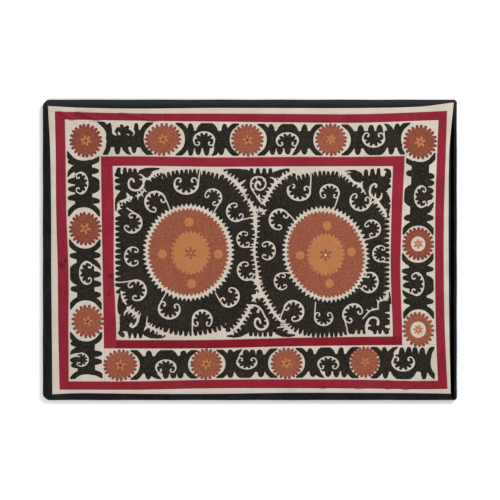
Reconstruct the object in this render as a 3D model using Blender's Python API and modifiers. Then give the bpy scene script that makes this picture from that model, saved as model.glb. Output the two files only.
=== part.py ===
"""Suzani, an embroidered cotton textile, on a black cloth-covered mounting board.

The cloth lies flat and face up. X runs along it, Y across it and Z up. The origin is on the back
of the board, at its centre. Sizes are in metres and angles in degrees.
"""
from collections import namedtuple
from math import ceil, cos, floor, hypot, pi, radians, sin, tau

import bmesh
import bpy

# Layers, from the back up
AIR = 0.0003
BOARD_THICKNESS = 0.018
CREAM_THICKNESS = 0.0015
RED_THICKNESS = 0.0019
STITCH_THICKNESS = 0.0012
FLOWER_THICKNESS = 0.0009
CLOTH_BASE = BOARD_THICKNESS + AIR
STITCH_BASE = CLOTH_BASE + CREAM_THICKNESS + AIR
FLOWER_BASE = STITCH_BASE + STITCH_THICKNESS + AIR

# Mounting board: its edges, and a radius for each corner, which the cover makes uneven
BOARD_WEST, BOARD_EAST = -1.0365, 1.0365
BOARD_SOUTH, BOARD_NORTH = -0.7525, 0.7525
BOARD_EDGE_ROUNDING = 0.004
CORNER_STEPS = 6
CORNER_RADII = {"south_east": 0.015, "north_east": 0.017, "north_west": 0.038, "south_west": 0.037}

# The five lines that part the bands, outermost first, where they cross each side of the cloth
LINES = ("rim", "red_outside", "red_inside", "band_outside", "field")
Section = namedtuple("Section", ("at",) + LINES)
EDGES = {
    "north": (
        Section(-1.00, 0.7190, 0.6920, 0.6550, 0.4660, 0.4180),
        Section(-0.85, 0.7110, 0.6880, 0.6510, 0.4660, 0.4180),
        Section(-0.55, 0.7065, 0.6815, 0.6460, 0.4670, 0.4205),
        Section(-0.20, 0.7095, 0.6810, 0.6420, 0.4615, 0.4160),
        Section(0.20, 0.7090, 0.6790, 0.6375, 0.4640, 0.4175),
        Section(0.55, 0.7090, 0.6780, 0.6360, 0.4645, 0.4185),
        Section(0.85, 0.7160, 0.6880, 0.6460, 0.4700, 0.4190),
        Section(1.00, 0.7345, 0.6950, 0.6510, 0.4700, 0.4190),
    ),
    "south": (
        Section(-1.00, -0.7230, -0.6990, -0.6570, -0.4920, -0.4500),
        Section(-0.85, -0.7170, -0.6990, -0.6585, -0.4920, -0.4500),
        Section(-0.55, -0.7200, -0.6990, -0.6580, -0.4930, -0.4520),
        Section(-0.20, -0.7205, -0.6920, -0.6500, -0.4920, -0.4510),
        Section(0.20, -0.7150, -0.6915, -0.6480, -0.4825, -0.4410),
        Section(0.55, -0.7155, -0.6930, -0.6500, -0.4775, -0.4355),
        Section(0.85, -0.7170, -0.6970, -0.6565, -0.4760, -0.4330),
        Section(1.00, -0.7195, -0.6950, -0.6520, -0.4760, -0.4330),
    ),
    "west": (
        Section(-0.70, -0.9880, -0.9510, -0.9060, -0.7270, -0.6670),
        Section(-0.40, -0.9905, -0.9575, -0.9075, -0.7305, -0.6690),
        Section(-0.10, -0.9935, -0.9605, -0.9075, -0.7355, -0.6810),
        Section(0.20, -0.9940, -0.9680, -0.9185, -0.7410, -0.6810),
        Section(0.50, -0.9990, -0.9705, -0.9225, -0.7445, -0.6885),
        Section(0.70, -1.0090, -0.9750, -0.9270, -0.7440, -0.6870),
    ),
    "east": (
        Section(-0.70, 1.0040, 0.9880, 0.9430, 0.7620, 0.7170),
        Section(-0.40, 0.9975, 0.9745, 0.9310, 0.7605, 0.7150),
        Section(-0.10, 0.9945, 0.9690, 0.9270, 0.7520, 0.7050),
        Section(0.20, 0.9940, 0.9705, 0.9280, 0.7610, 0.7090),
        Section(0.50, 0.9980, 0.9795, 0.9375, 0.7750, 0.7185),
        Section(0.70, 1.0160, 0.9860, 0.9470, 0.7760, 0.7190),
    ),
}

# Soft creases across the outer red band: where they cross its north or south strip, in X
Crease = namedtuple("Crease", "side west_end east_end height half_width")
CREASES = (
    Crease("north", -0.950, -0.902, 0.0030, 0.012),
    Crease("north", -0.825, -0.757, 0.0024, 0.011),
    Crease("north", -0.610, -0.500, 0.0018, 0.012),
    Crease("south", 0.367, 0.420, 0.0022, 0.012),
    Crease("south", 0.545, 0.715, 0.0018, 0.013),
    Crease("south", 0.778, 0.865, 0.0028, 0.012),
)
CREASE_MARGIN = 0.024
CREASE_STEP = 0.009
CREASE_ROWS = 3
STATION = 0.20
SHORTEST_STEP = 0.004

# Field embroidery: a disc, a flower on it and a horned ring round it, twice
Medallion = namedtuple("Medallion", "name x y disc_rx disc_ry ring_rx ring_ry flower_rx flower_ry west east")
MEDALLIONS = (
    Medallion("left", -0.300, -0.014, 0.205, 0.226, 0.219, 0.239, 0.098, 0.109, -0.672, 0.021),
    Medallion("right", 0.377, -0.023, 0.184, 0.222, 0.203, 0.236, 0.095, 0.105, 0.041, 0.696),
)
RING_RADIUS = 0.415
RING_NORTH, RING_SOUTH = 0.405, -0.436
RIM_FINGER_PITCH, RIM_FINGER_LENGTH = 0.0245, 0.024
DISC_TEETH, DISC_TOOTH = 60, 0.016
RING_TEETH, RING_TOOTH = 60, 0.013
FLOWER_PETALS, FLOWER_PETAL = 28, 0.018

# Horns left bare in the black work: place, radius and the way that each one opens
Horn = namedtuple("Horn", "x y radius opening")
RING_HORNS = {
    "left": (
        Horn(-0.317, 0.318, 0.056, 90),
        Horn(-0.470, 0.240, 0.052, -45),
        Horn(-0.580, 0.134, 0.052, 135),
        Horn(-0.590, -0.033, 0.046, 0),
        Horn(-0.567, -0.200, 0.052, 200),
        Horn(-0.411, -0.305, 0.053, 90),
        Horn(-0.238, -0.346, 0.050, -90),
        Horn(-0.090, -0.238, 0.050, 135),
        Horn(-0.035, -0.104, 0.043, 0),
        Horn(-0.033, 0.048, 0.036, 0),
        Horn(-0.078, 0.186, 0.047, 45),
        Horn(-0.182, 0.282, 0.043, 225),
    ),
    "right": (
        Horn(0.252, 0.300, 0.054, 90),
        Horn(0.396, 0.284, 0.048, -90),
        Horn(0.546, 0.240, 0.050, 90),
        Horn(0.623, 0.105, 0.044, 210),
        Horn(0.636, -0.020, 0.040, 0),
        Horn(0.610, -0.170, 0.044, 150),
        Horn(0.512, -0.318, 0.050, -45),
        Horn(0.370, -0.338, 0.046, 90),
        Horn(0.222, -0.300, 0.052, 225),
        Horn(0.136, -0.160, 0.042, 0),
        Horn(0.106, -0.006, 0.038, 180),
        Horn(0.140, 0.155, 0.050, -45),
    ),
}
HORN_LINE = 0.009
HORN_HALF_GAP = 52
HORN_STEPS = 6
HOOK_REACH = 0.45

# Black sprays in the corners of the field and between the rings
Spray = namedtuple("Spray", "name side west_end east_end")
SPRAYS = (
    Spray("spray_north_west", "north", -0.676, -0.445),
    Spray("spray_north_middle", "north", -0.115, 0.200),
    Spray("spray_north_east", "north", 0.530, 0.705),
    Spray("spray_south_west", "south", -0.660, -0.435),
    Spray("spray_south_middle", "south", -0.110, 0.205),
    Spray("spray_south_east", "south", 0.545, 0.706),
)
SPRAY_CLEARANCE = 0.016
SPRAY_MARGIN = 0.007
SPRAY_FINGER = 0.018
SPRAY_ROOT = 0.006
SPRAY_PITCH = 0.028
SPRAY_STEPS = 7
SPRAY_LOWEST = 0.170

# Border embroidery: rosettes, and links of horns and leaves between them
Rosette = namedtuple("Rosette", "name x y rx ry teeth")
ROSETTES = (
    Rosette("rosette_north_1", -0.820, 0.545, 0.080, 0.082, 22),
    Rosette("rosette_north_2", -0.431, 0.552, 0.090, 0.079, 24),
    Rosette("rosette_north_3", -0.012, 0.549, 0.079, 0.079, 22),
    Rosette("rosette_north_4", 0.409, 0.551, 0.077, 0.079, 22),
    Rosette("rosette_north_5", 0.852, 0.543, 0.082, 0.083, 22),
    Rosette("rosette_west_1", -0.824, 0.105, 0.078, 0.082, 22),
    Rosette("rosette_west_2", -0.815, -0.362, 0.079, 0.082, 22),
    Rosette("rosette_south_1", -0.647, -0.577, 0.083, 0.076, 22),
    Rosette("rosette_south_2", -0.214, -0.571, 0.077, 0.074, 22),
    Rosette("rosette_south_3", 0.186, -0.565, 0.078, 0.076, 22),
    Rosette("rosette_south_4", 0.575, -0.562, 0.075, 0.076, 22),
    Rosette("rosette_east_1", 0.842, 0.030, 0.077, 0.080, 22),
    Rosette("rosette_east_2", 0.842, -0.395, 0.077, 0.085, 22),
)
ROSETTE_TOOTH = 0.013

# A link runs along its side between two centres; its horn lies at x, y
Link = namedtuple("Link", "name side start end x y radius opening arched")
LINKS = (
    Link("link_north_1", "north", -0.820, -0.431, -0.635, 0.552, 0.030, 90, ""),
    Link("link_north_2", "north", -0.431, -0.012, -0.229, 0.540, 0.048, -90, "out"),
    Link("link_north_3", "north", -0.012, 0.409, 0.190, 0.537, 0.048, -90, "out"),
    Link("link_north_4", "north", 0.409, 0.852, 0.624, 0.562, 0.048, 90, "in"),
    Link("link_west_1", "west", 0.545, 0.105, -0.845, 0.336, 0.044, 180, "in"),
    Link("link_west_2", "west", 0.105, -0.362, -0.815, -0.120, 0.046, 0, "out"),
    Link("link_west_3", "west", -0.362, -0.719, -0.838, -0.548, 0.034, 180, "in"),
    Link("link_south_1", "south", -0.647, -0.214, -0.419, -0.580, 0.046, -90, "in"),
    Link("link_south_2", "south", -0.214, 0.186, -0.017, -0.556, 0.045, 90, "out"),
    Link("link_south_3", "south", 0.186, 0.575, 0.392, -0.575, 0.046, -90, "in"),
    Link("link_south_4", "south", 0.575, 0.985, 0.765, -0.553, 0.048, 90, "out"),
    Link("link_east_1", "east", 0.543, 0.030, 0.858, 0.267, 0.044, 0, "in"),
    Link("link_east_2", "east", 0.030, -0.395, 0.830, -0.168, 0.046, 180, "out"),
)
CRESCENT_RADIUS = 0.104
CRESCENT_HALF_ANGLE = 47
CRESCENT_STEPS = 6
LINK_MARGIN = 0.006

# One long edge of a link: tips and valleys, as shares of its centre distance and its half width
Turn = namedtuple("Turn", "along out")
LEAVES = (Turn(0.250, 0.72), Turn(0.292, 0.30), Turn(0.309, 0.97), Turn(0.335, 0.50),
          Turn(0.362, 1.00), Turn(0.388, 0.70))
ARCH = (Turn(0.412, 0.88), Turn(0.450, 0.97), Turn(0.500, 1.00), Turn(0.550, 0.97), Turn(0.588, 0.88))
FINGERS = (Turn(0.412, 0.96), Turn(0.437, 0.80), Turn(0.468, 1.00), Turn(0.500, 0.80),
           Turn(0.532, 1.00), Turn(0.563, 0.80), Turn(0.588, 0.96))

# Finishes: sRGB colour and roughness
Finish = namedtuple("Finish", "name colour roughness")
BLACK_COTTON = Finish("black_cotton", "232326", 0.95)
CREAM_COTTON = Finish("cream_cotton", "CFC3B2", 0.92)
OUTER_RED_COTTON = Finish("outer_red_cotton", "8A2C3A", 0.88)
INNER_RED_COTTON = Finish("inner_red_cotton", "912B38", 0.88)
BLACK_SILK = Finish("black_silk", "35302A", 0.62)
RUST_SILK = Finish("rust_silk", "9B5C49", 0.60)
ORANGE_SILK = Finish("orange_silk", "BE8457", 0.60)


def linear(channel):
    """One sRGB channel from 0 to 1, as a linear value."""
    return channel / 12.92 if channel <= 0.04045 else ((channel + 0.055) / 1.055) ** 2.4


def material(finish):
    """The material of a finish, made once and shared by the pieces that have it."""
    made = bpy.data.materials.get(finish.name)
    if made:
        return made
    made = bpy.data.materials.new(finish.name)
    made.use_nodes = True
    shader = made.node_tree.nodes["Principled BSDF"]
    rgb = [linear(int(finish.colour[i:i + 2], 16) / 255) for i in (0, 2, 4)]
    shader.inputs["Base Color"].default_value = (*rgb, 1.0)
    shader.inputs["Roughness"].default_value = finish.roughness
    shader.inputs["Metallic"].default_value = 0.0
    return made


def add_piece(name, data, finish, z=0.0):
    """Put a mesh or a curve in the collection as one named piece, under the shared empty."""
    piece = bpy.data.objects.new(name, data)
    piece.location.z = z
    piece.parent = bpy.data.objects["suzani_origin"]
    data.materials.append(material(finish))
    bpy.data.collections["suzani"].objects.link(piece)
    return piece


def flat_piece(name, loops, bottom, thickness, finish):
    """A flat piece: its outline first in loops, then any holes, stood up to its thickness."""
    curve = bpy.data.curves.new(name, "CURVE")
    curve.dimensions = "2D"
    curve.fill_mode = "BOTH"
    curve.extrude = thickness / 2
    for loop in loops:
        spline = curve.splines.new("POLY")
        spline.points.add(len(loop) - 1)
        spline.use_cyclic_u = True
        for point, (x, y) in zip(spline.points, loop):
            point.co = (x, y, 0, 1)
    return add_piece(name, curve, finish, bottom + thickness / 2)


def smooth_line(side, line, at):
    """A smooth curve through one line's sections along a side, straight on past the end ones."""
    rows = EDGES[side]
    places = [row.at for row in rows]
    values = [getattr(row, line) for row in rows]
    last = len(rows) - 1
    slopes = []
    for i in range(len(rows)):
        before, after = max(i - 1, 0), min(i + 1, last)
        slopes.append((values[after] - values[before]) / (places[after] - places[before]))
    if at <= places[0]:
        return values[0] + slopes[0] * (at - places[0])
    if at >= places[last]:
        return values[last] + slopes[last] * (at - places[last])
    i = max(k for k in range(last) if places[k] <= at)
    width = places[i + 1] - places[i]
    t = (at - places[i]) / width
    rise = t * t * (3 - 2 * t)
    return (values[i] * (1 - rise) + values[i + 1] * rise
            + width * t * (1 - t) * ((1 - t) * slopes[i] - t * slopes[i + 1]))


def line_at(side, line, at):
    """Where a line runs at a place along one side: straight between stations, which all pieces share."""
    before = floor(at / STATION) * STATION
    share = (at - before) / STATION
    return smooth_line(side, line, before) * (1 - share) + smooth_line(side, line, before + STATION) * share


def crossing(upright, level, side_shift, level_shift):
    """The corner where an upright line, x from y, meets a level one, y from x."""
    x, y = 0.0, 0.0
    for _ in range(12):
        x = line_at(*upright, y) + side_shift
        y = line_at(*level, x) + level_shift
    return x, y


def crease_height(side, x, y):
    """How far a soft crease lifts the outer red band at a point."""
    lift = 0.0
    for crease in CREASES:
        if crease.side != side:
            continue
        high = line_at(side, "red_outside", x)
        low = line_at(side, "red_inside", x)
        share = (y - high) / (low - high)
        middle = crease.west_end + (crease.east_end - crease.west_end) * share
        away = abs(x - middle) / (crease.half_width * 1.8)
        if away < 1:
            lift = max(lift, crease.height * (0.5 + 0.5 * cos(pi * away)))
    return lift


def shares(spans, crease_side=None):
    """Where to divide a sheet: at each station that its two opposite edges cross, and across creases."""
    found = {0.0, 1.0}
    for start, end in spans:
        places = [STATION * i for i in range(ceil(start / STATION), ceil(end / STATION))]
        for crease in CREASES:
            if crease.side == crease_side:
                west, east = crease.west_end - CREASE_MARGIN, crease.east_end + CREASE_MARGIN
                count = ceil((east - west) / CREASE_STEP)
                places += [west + (east - west) * i / count for i in range(count + 1)]
        found |= {(place - start) / (end - start) for place in places}
    kept = [0.0]
    smallest = SHORTEST_STEP / (spans[0][1] - spans[0][0])
    for share in sorted(found):
        if share - kept[-1] > smallest and 1 - share > smallest:
            kept.append(share)
    return kept + [1.0]


def cloth_panel(name, west, east, south, north, thickness, finish, crease_side=None):
    """A sheet between four lines, each given as its side and its name, half a seam gap inside them."""
    half = AIR / 2
    corners = [[crossing(west, south, half, half), crossing(east, south, -half, half)],
               [crossing(west, north, half, -half), crossing(east, north, -half, -half)]]
    (sw, se), (nw, ne) = corners
    along_x = shares([(sw[0], se[0]), (nw[0], ne[0])], crease_side)
    along_y = shares([(sw[1], nw[1]), (se[1], ne[1])])
    if crease_side:
        along_y = [i / CREASE_ROWS for i in range(CREASE_ROWS + 1)]

    def placed(s, t):
        """A point of the sheet, blended from its four edges."""
        bottom_x, top_x = sw[0] + (se[0] - sw[0]) * s, nw[0] + (ne[0] - nw[0]) * s
        left_y, right_y = sw[1] + (nw[1] - sw[1]) * t, se[1] + (ne[1] - se[1]) * t
        bottom_y, top_y = line_at(*south, bottom_x) + half, line_at(*north, top_x) - half
        left_x, right_x = line_at(*west, left_y) + half, line_at(*east, right_y) - half
        flat_x = bottom_x * (1 - t) + top_x * t
        flat_y = left_y * (1 - s) + right_y * s
        edge_x = (left_x - (sw[0] + (nw[0] - sw[0]) * t)) * (1 - s)
        edge_x += (right_x - (se[0] + (ne[0] - se[0]) * t)) * s
        edge_y = (bottom_y - (sw[1] + (se[1] - sw[1]) * s)) * (1 - t)
        edge_y += (top_y - (nw[1] + (ne[1] - nw[1]) * s)) * t
        x, y = flat_x + edge_x, flat_y + edge_y
        return x, y, CLOTH_BASE + (crease_height(crease_side, x, y) if crease_side else 0.0)

    grid = bmesh.new()
    bmesh.ops.create_grid(grid, x_segments=len(along_x) - 1, y_segments=len(along_y) - 1, size=0.5)
    for vert in grid.verts:
        i = round((vert.co.x + 0.5) * (len(along_x) - 1))
        j = round((vert.co.y + 0.5) * (len(along_y) - 1))
        vert.co = placed(along_x[i], along_y[j])
    mesh = bpy.data.meshes.new(name)
    grid.to_mesh(mesh)
    grid.free()
    panel = add_piece(name, mesh, finish)
    solidify = panel.modifiers.new("thickness", "SOLIDIFY")
    solidify.thickness = thickness
    solidify.offset = 1.0
    return panel


def band_of_strips(name, outer, inner, thickness, finish, creased=False):
    """Four strips between two lines. The north one runs to both corners, and the others butt in turn."""
    cloth_panel(f"{name}_north", ("west", outer), ("east", outer), ("north", inner), ("north", outer),
                thickness, finish, "north" if creased else None)
    cloth_panel(f"{name}_west", ("west", outer), ("west", inner), ("south", outer), ("north", inner),
                thickness, finish)
    cloth_panel(f"{name}_south", ("west", inner), ("east", outer), ("south", outer), ("south", inner),
                thickness, finish, "south" if creased else None)
    cloth_panel(f"{name}_east", ("east", inner), ("east", outer), ("south", inner), ("north", inner),
                thickness, finish)


def mounting_board():
    """The stiff board in its black cover, with rounded corners and softly rounded edges."""
    loop = []
    turn = -90
    for corner, radius in CORNER_RADII.items():
        x = BOARD_EAST - radius if "east" in corner else BOARD_WEST + radius
        y = BOARD_NORTH - radius if "north" in corner else BOARD_SOUTH + radius
        for i in range(CORNER_STEPS + 1):
            angle = radians(turn + 90 * i / CORNER_STEPS)
            loop.append((x + radius * cos(angle), y + radius * sin(angle)))
        turn += 90
    board = flat_piece("mounting_board", [loop], 0.0, BOARD_THICKNESS, BLACK_COTTON)
    board.data.extrude = BOARD_THICKNESS / 2 - BOARD_EDGE_ROUNDING
    board.data.bevel_depth = BOARD_EDGE_ROUNDING
    board.data.bevel_resolution = 2
    board.data.offset = -BOARD_EDGE_ROUNDING


def toothed_oval(x, y, rx, ry, teeth, tooth):
    """An oval whose rim is cut into teeth, with their tips on the oval itself."""
    loop = []
    for i in range(2 * teeth):
        angle = tau * i / (2 * teeth)
        cut = tooth * (i % 2)
        loop.append((x + (rx - cut) * cos(angle), y + (ry - cut) * sin(angle)))
    return loop


def horn_loop(horn):
    """A C-shaped line with both ends hooked inwards."""
    outer, inner = [], []
    for i in range(HORN_STEPS + 1):
        turn = HORN_HALF_GAP + (360 - 2 * HORN_HALF_GAP) * i / HORN_STEPS
        angle = radians(horn.opening + turn)
        outer.append((horn.x + horn.radius * cos(angle), horn.y + horn.radius * sin(angle)))
        narrow = horn.radius - HORN_LINE
        inner.append((horn.x + narrow * cos(angle), horn.y + narrow * sin(angle)))
    hooks = []
    for turn in (HORN_HALF_GAP * 0.72, -HORN_HALF_GAP * 0.72):
        angle = radians(horn.opening + turn)
        reach = horn.radius * HOOK_REACH
        hooks.append((horn.x + reach * cos(angle), horn.y + reach * sin(angle)))
    return [hooks[0]] + outer + [hooks[1]] + inner[::-1]


def ring_rim(medallion, angle):
    """The point of a ring's outer rim at an angle: a circle held in by the field and the other ring."""
    dx, dy = cos(angle), sin(angle)
    reach = RING_RADIUS
    if abs(dx) > 1e-6:
        side = medallion.east if dx > 0 else medallion.west
        reach = min(reach, (side - medallion.x) / dx)
    if abs(dy) > 1e-6:
        side = RING_NORTH if dy > 0 else RING_SOUTH
        reach = min(reach, (side - medallion.y) / dy)
    return medallion.x + reach * dx, medallion.y + reach * dy


def fingered_rim(medallion):
    """The ring's outer edge: fingers of one pitch, square to the rim, with their tips on it."""
    samples = 720
    fine = [ring_rim(medallion, tau * i / samples) for i in range(samples)]
    lengths = [0.0]
    for i in range(samples):
        (x0, y0), (x1, y1) = fine[i], fine[(i + 1) % samples]
        lengths.append(lengths[-1] + hypot(x1 - x0, y1 - y0))
    turns = 2 * round(lengths[-1] / RIM_FINGER_PITCH)
    loop, i = [], 0
    for k in range(turns):
        goal = lengths[-1] * k / turns
        while lengths[i + 1] <= goal:
            i += 1
        (x0, y0), (x1, y1) = fine[i - 1], fine[(i + 2) % samples]
        x, y = fine[i]
        length = hypot(x1 - x0, y1 - y0)
        cut = RIM_FINGER_LENGTH * (k % 2)
        loop.append((x - cut * (y1 - y0) / length, y + cut * (x1 - x0) / length))
    return loop


def medallion_pieces(medallion):
    """A rust disc, an orange flower over its middle and a black ring with bare horns."""
    m = medallion
    ring_hole = toothed_oval(m.x, m.y, m.ring_rx + RING_TOOTH, m.ring_ry + RING_TOOTH, RING_TEETH, RING_TOOTH)
    horns = [horn_loop(horn) for horn in RING_HORNS[m.name]]
    flat_piece(f"ring_{m.name}", [fingered_rim(m), ring_hole] + horns, STITCH_BASE, STITCH_THICKNESS, BLACK_SILK)
    disc = toothed_oval(m.x, m.y, m.disc_rx, m.disc_ry, DISC_TEETH, DISC_TOOTH)
    flat_piece(f"disc_{m.name}", [disc], STITCH_BASE, STITCH_THICKNESS, RUST_SILK)
    flower = toothed_oval(m.x, m.y, m.flower_rx, m.flower_ry, FLOWER_PETALS, FLOWER_PETAL)
    flat_piece(f"flower_{m.name}", [flower], FLOWER_BASE, FLOWER_THICKNESS, ORANGE_SILK)


def ring_bound(side, x):
    """How far towards a long side of the field the rings reach at x, clear of a spray."""
    reach = None
    for m in MEDALLIONS:
        radius = RING_RADIUS + SPRAY_CLEARANCE
        if abs(x - m.x) < radius:
            rise = (radius ** 2 - (x - m.x) ** 2) ** 0.5
            edge = m.y + rise if side == "north" else m.y - rise
            if reach is None or abs(edge) > abs(reach):
                reach = edge
    lowest = SPRAY_LOWEST if side == "north" else -SPRAY_LOWEST
    return lowest if reach is None or abs(reach) < abs(lowest) else reach


def spray_loop(spray):
    """A spray: fingers along the field's edge, and the rings' curve on its other side."""
    inward = -1 if spray.side == "north" else 1
    span = spray.east_end - spray.west_end
    turns = 2 * round(span / SPRAY_PITCH)
    fingers, curve = [], []
    for k in range(turns + 1):
        x = spray.west_end + span * k / turns
        edge = line_at(spray.side, "field", x) + inward * SPRAY_MARGIN
        fingers.append((x, edge + inward * SPRAY_FINGER * (k % 2)))
    for i in range(SPRAY_STEPS + 1):
        x = spray.east_end - span * i / SPRAY_STEPS
        root = line_at(spray.side, "field", x) + inward * (SPRAY_MARGIN + SPRAY_FINGER + SPRAY_ROOT)
        curve.append((x, inward * max(inward * root, inward * ring_bound(spray.side, x))))
    return fingers + curve


def border_point(side, along, out):
    """A point of the border at a place along a side; out is 1 at its outer edge and -1 at its inner."""
    outer, inner = line_at(side, "red_inside", along), line_at(side, "band_outside", along)
    outward = 1 if side in ("north", "east") else -1
    outer -= outward * LINK_MARGIN
    inner += outward * LINK_MARGIN
    across = outer * (1 + out) / 2 + inner * (1 - out) / 2
    return (along, across) if side in ("north", "south") else (across, along)


def crescent_arc(side, centre, towards):
    """The hollow end of a link, round a rosette, from its outer tip to its inner tip."""
    level = side in ("north", "south")
    outward = 1 if side in ("north", "east") else -1
    mid_x, mid_y = border_point(side, centre, 0)
    loop = []
    for i in range(CRESCENT_STEPS + 1):
        angle = radians(CRESCENT_HALF_ANGLE * (1 - 2 * i / CRESCENT_STEPS))
        along = towards * CRESCENT_RADIUS * cos(angle)
        across = outward * CRESCENT_RADIUS * sin(angle)
        loop.append((mid_x + along, mid_y + across) if level else (mid_x + across, mid_y + along))
    return loop


def link_loops(link):
    """A link: a crescent at each end, leaf pairs, and a body with a bare horn in it."""
    towards = 1 if link.end > link.start else -1

    def long_edge(way):
        """The tips and valleys of one long edge, from the start to the end."""
        middle = ARCH if (link.arched == "out") == (way > 0) and link.arched else FINGERS
        turns = list(LEAVES) + list(middle) + [Turn(1 - t.along, t.out) for t in reversed(LEAVES)]
        return [border_point(link.side, link.start + (link.end - link.start) * t.along, way * t.out)
                for t in turns]

    start = crescent_arc(link.side, link.start, towards)
    end = crescent_arc(link.side, link.end, -towards)
    outline = long_edge(1) + end + long_edge(-1)[::-1] + start[::-1]
    return [outline, horn_loop(Horn(link.x, link.y, link.radius, link.opening))]


def remove_all():
    """Empty the scene of objects."""
    for thing in list(bpy.data.objects):
        bpy.data.objects.remove(thing, do_unlink=True)


def build():
    """Make every piece of the suzani and its board."""
    remove_all()
    collection = bpy.data.collections.new("suzani")
    bpy.context.scene.collection.children.link(collection)
    origin = bpy.data.objects.new("suzani_origin", None)
    collection.objects.link(origin)

    mounting_board()
    cloth_panel("field_panel", ("west", "field"), ("east", "field"), ("south", "field"), ("north", "field"),
                CREAM_THICKNESS, CREAM_COTTON)
    band_of_strips("inner_red", "band_outside", "field", RED_THICKNESS, INNER_RED_COTTON)
    band_of_strips("border_ground", "red_inside", "band_outside", CREAM_THICKNESS, CREAM_COTTON)
    band_of_strips("outer_red", "red_outside", "red_inside", RED_THICKNESS, OUTER_RED_COTTON, creased=True)
    band_of_strips("edging", "rim", "red_outside", CREAM_THICKNESS, CREAM_COTTON)

    for medallion in MEDALLIONS:
        medallion_pieces(medallion)
    for spray in SPRAYS:
        flat_piece(spray.name, [spray_loop(spray)], STITCH_BASE, STITCH_THICKNESS, BLACK_SILK)
    for r in ROSETTES:
        loop = toothed_oval(r.x, r.y, r.rx, r.ry, r.teeth, ROSETTE_TOOTH)
        flat_piece(r.name, [loop], STITCH_BASE, STITCH_THICKNESS, RUST_SILK)
    for link in LINKS:
        flat_piece(link.name, link_loops(link), STITCH_BASE, STITCH_THICKNESS, BLACK_SILK)


build()
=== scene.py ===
"""A suzani, an embroidered cotton textile, lying face up on a black cloth-covered mounting board.

X runs along the cloth, Y across it and Z up, in metres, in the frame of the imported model. Tables
whose names end in _MM are in millimetres. Angles are in degrees and counterclockwise from +X.
"""
import logging
import sys
from collections import namedtuple
from dataclasses import astuple, dataclass
from enum import Enum
from math import atan2, ceil, cos, degrees, hypot, pi, radians, sin, sqrt, tau
from typing import Callable, Iterable, Optional, Sequence

import bpy
import numpy as np
from mathutils import Matrix, Vector
from mathutils.geometry import delaunay_2d_cdt


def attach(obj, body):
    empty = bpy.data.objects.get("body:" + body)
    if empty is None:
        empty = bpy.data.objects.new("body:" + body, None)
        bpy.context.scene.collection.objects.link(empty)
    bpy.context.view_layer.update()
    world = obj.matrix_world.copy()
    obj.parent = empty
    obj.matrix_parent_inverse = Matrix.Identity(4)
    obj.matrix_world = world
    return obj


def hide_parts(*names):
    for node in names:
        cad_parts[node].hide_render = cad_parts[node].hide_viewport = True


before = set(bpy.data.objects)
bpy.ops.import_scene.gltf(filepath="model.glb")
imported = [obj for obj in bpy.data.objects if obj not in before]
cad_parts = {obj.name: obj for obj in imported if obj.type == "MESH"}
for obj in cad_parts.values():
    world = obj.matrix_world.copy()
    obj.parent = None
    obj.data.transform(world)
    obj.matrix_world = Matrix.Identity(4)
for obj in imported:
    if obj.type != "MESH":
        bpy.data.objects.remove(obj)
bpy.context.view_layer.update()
LOG = logging.getLogger("suzani")
MM = 0.001
SEED = 1870

# Layers, as in the solids
AIR = 0.0003
BOARD_THICKNESS = 0.018
CREAM_THICKNESS = 0.0015
RED_THICKNESS = 0.0019
CLOTH_BASE = BOARD_THICKNESS + AIR
CREAM_TOP = CLOTH_BASE + CREAM_THICKNESS
STITCH_THICKNESS = 0.0012

# The five lines that part the bands, outermost first, where they cross each side of the cloth
Section = namedtuple("Section", "at rim red_outside red_inside band_outside field")
EDGES = {
    "north": (
        Section(-1.00, 0.7190, 0.6920, 0.6550, 0.4660, 0.4180),
        Section(-0.85, 0.7110, 0.6880, 0.6510, 0.4660, 0.4180),
        Section(-0.55, 0.7065, 0.6815, 0.6460, 0.4670, 0.4205),
        Section(-0.20, 0.7095, 0.6810, 0.6420, 0.4615, 0.4160),
        Section(0.20, 0.7090, 0.6790, 0.6375, 0.4640, 0.4175),
        Section(0.55, 0.7090, 0.6780, 0.6360, 0.4645, 0.4185),
        Section(0.85, 0.7160, 0.6880, 0.6460, 0.4700, 0.4190),
        Section(1.00, 0.7345, 0.6950, 0.6510, 0.4700, 0.4190),
    ),
    "south": (
        Section(-1.00, -0.7230, -0.6990, -0.6570, -0.4920, -0.4500),
        Section(-0.85, -0.7170, -0.6990, -0.6585, -0.4920, -0.4500),
        Section(-0.55, -0.7200, -0.6990, -0.6580, -0.4930, -0.4520),
        Section(-0.20, -0.7205, -0.6920, -0.6500, -0.4920, -0.4510),
        Section(0.20, -0.7150, -0.6915, -0.6480, -0.4825, -0.4410),
        Section(0.55, -0.7155, -0.6930, -0.6500, -0.4775, -0.4355),
        Section(0.85, -0.7170, -0.6970, -0.6565, -0.4760, -0.4330),
        Section(1.00, -0.7195, -0.6950, -0.6520, -0.4760, -0.4330),
    ),
    "west": (
        Section(-0.70, -0.9880, -0.9510, -0.9060, -0.7270, -0.6670),
        Section(-0.40, -0.9905, -0.9575, -0.9075, -0.7305, -0.6690),
        Section(-0.10, -0.9935, -0.9605, -0.9075, -0.7355, -0.6810),
        Section(0.20, -0.9940, -0.9680, -0.9185, -0.7410, -0.6810),
        Section(0.50, -0.9990, -0.9705, -0.9225, -0.7445, -0.6885),
        Section(0.70, -1.0090, -0.9750, -0.9270, -0.7440, -0.6870),
    ),
    "east": (
        Section(-0.70, 1.0040, 0.9880, 0.9430, 0.7620, 0.7170),
        Section(-0.40, 0.9975, 0.9745, 0.9310, 0.7605, 0.7150),
        Section(-0.10, 0.9945, 0.9690, 0.9270, 0.7520, 0.7050),
        Section(0.20, 0.9940, 0.9705, 0.9280, 0.7610, 0.7090),
        Section(0.50, 0.9980, 0.9795, 0.9375, 0.7750, 0.7185),
        Section(0.70, 1.0160, 0.9860, 0.9470, 0.7760, 0.7190),
    ),
}

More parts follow.
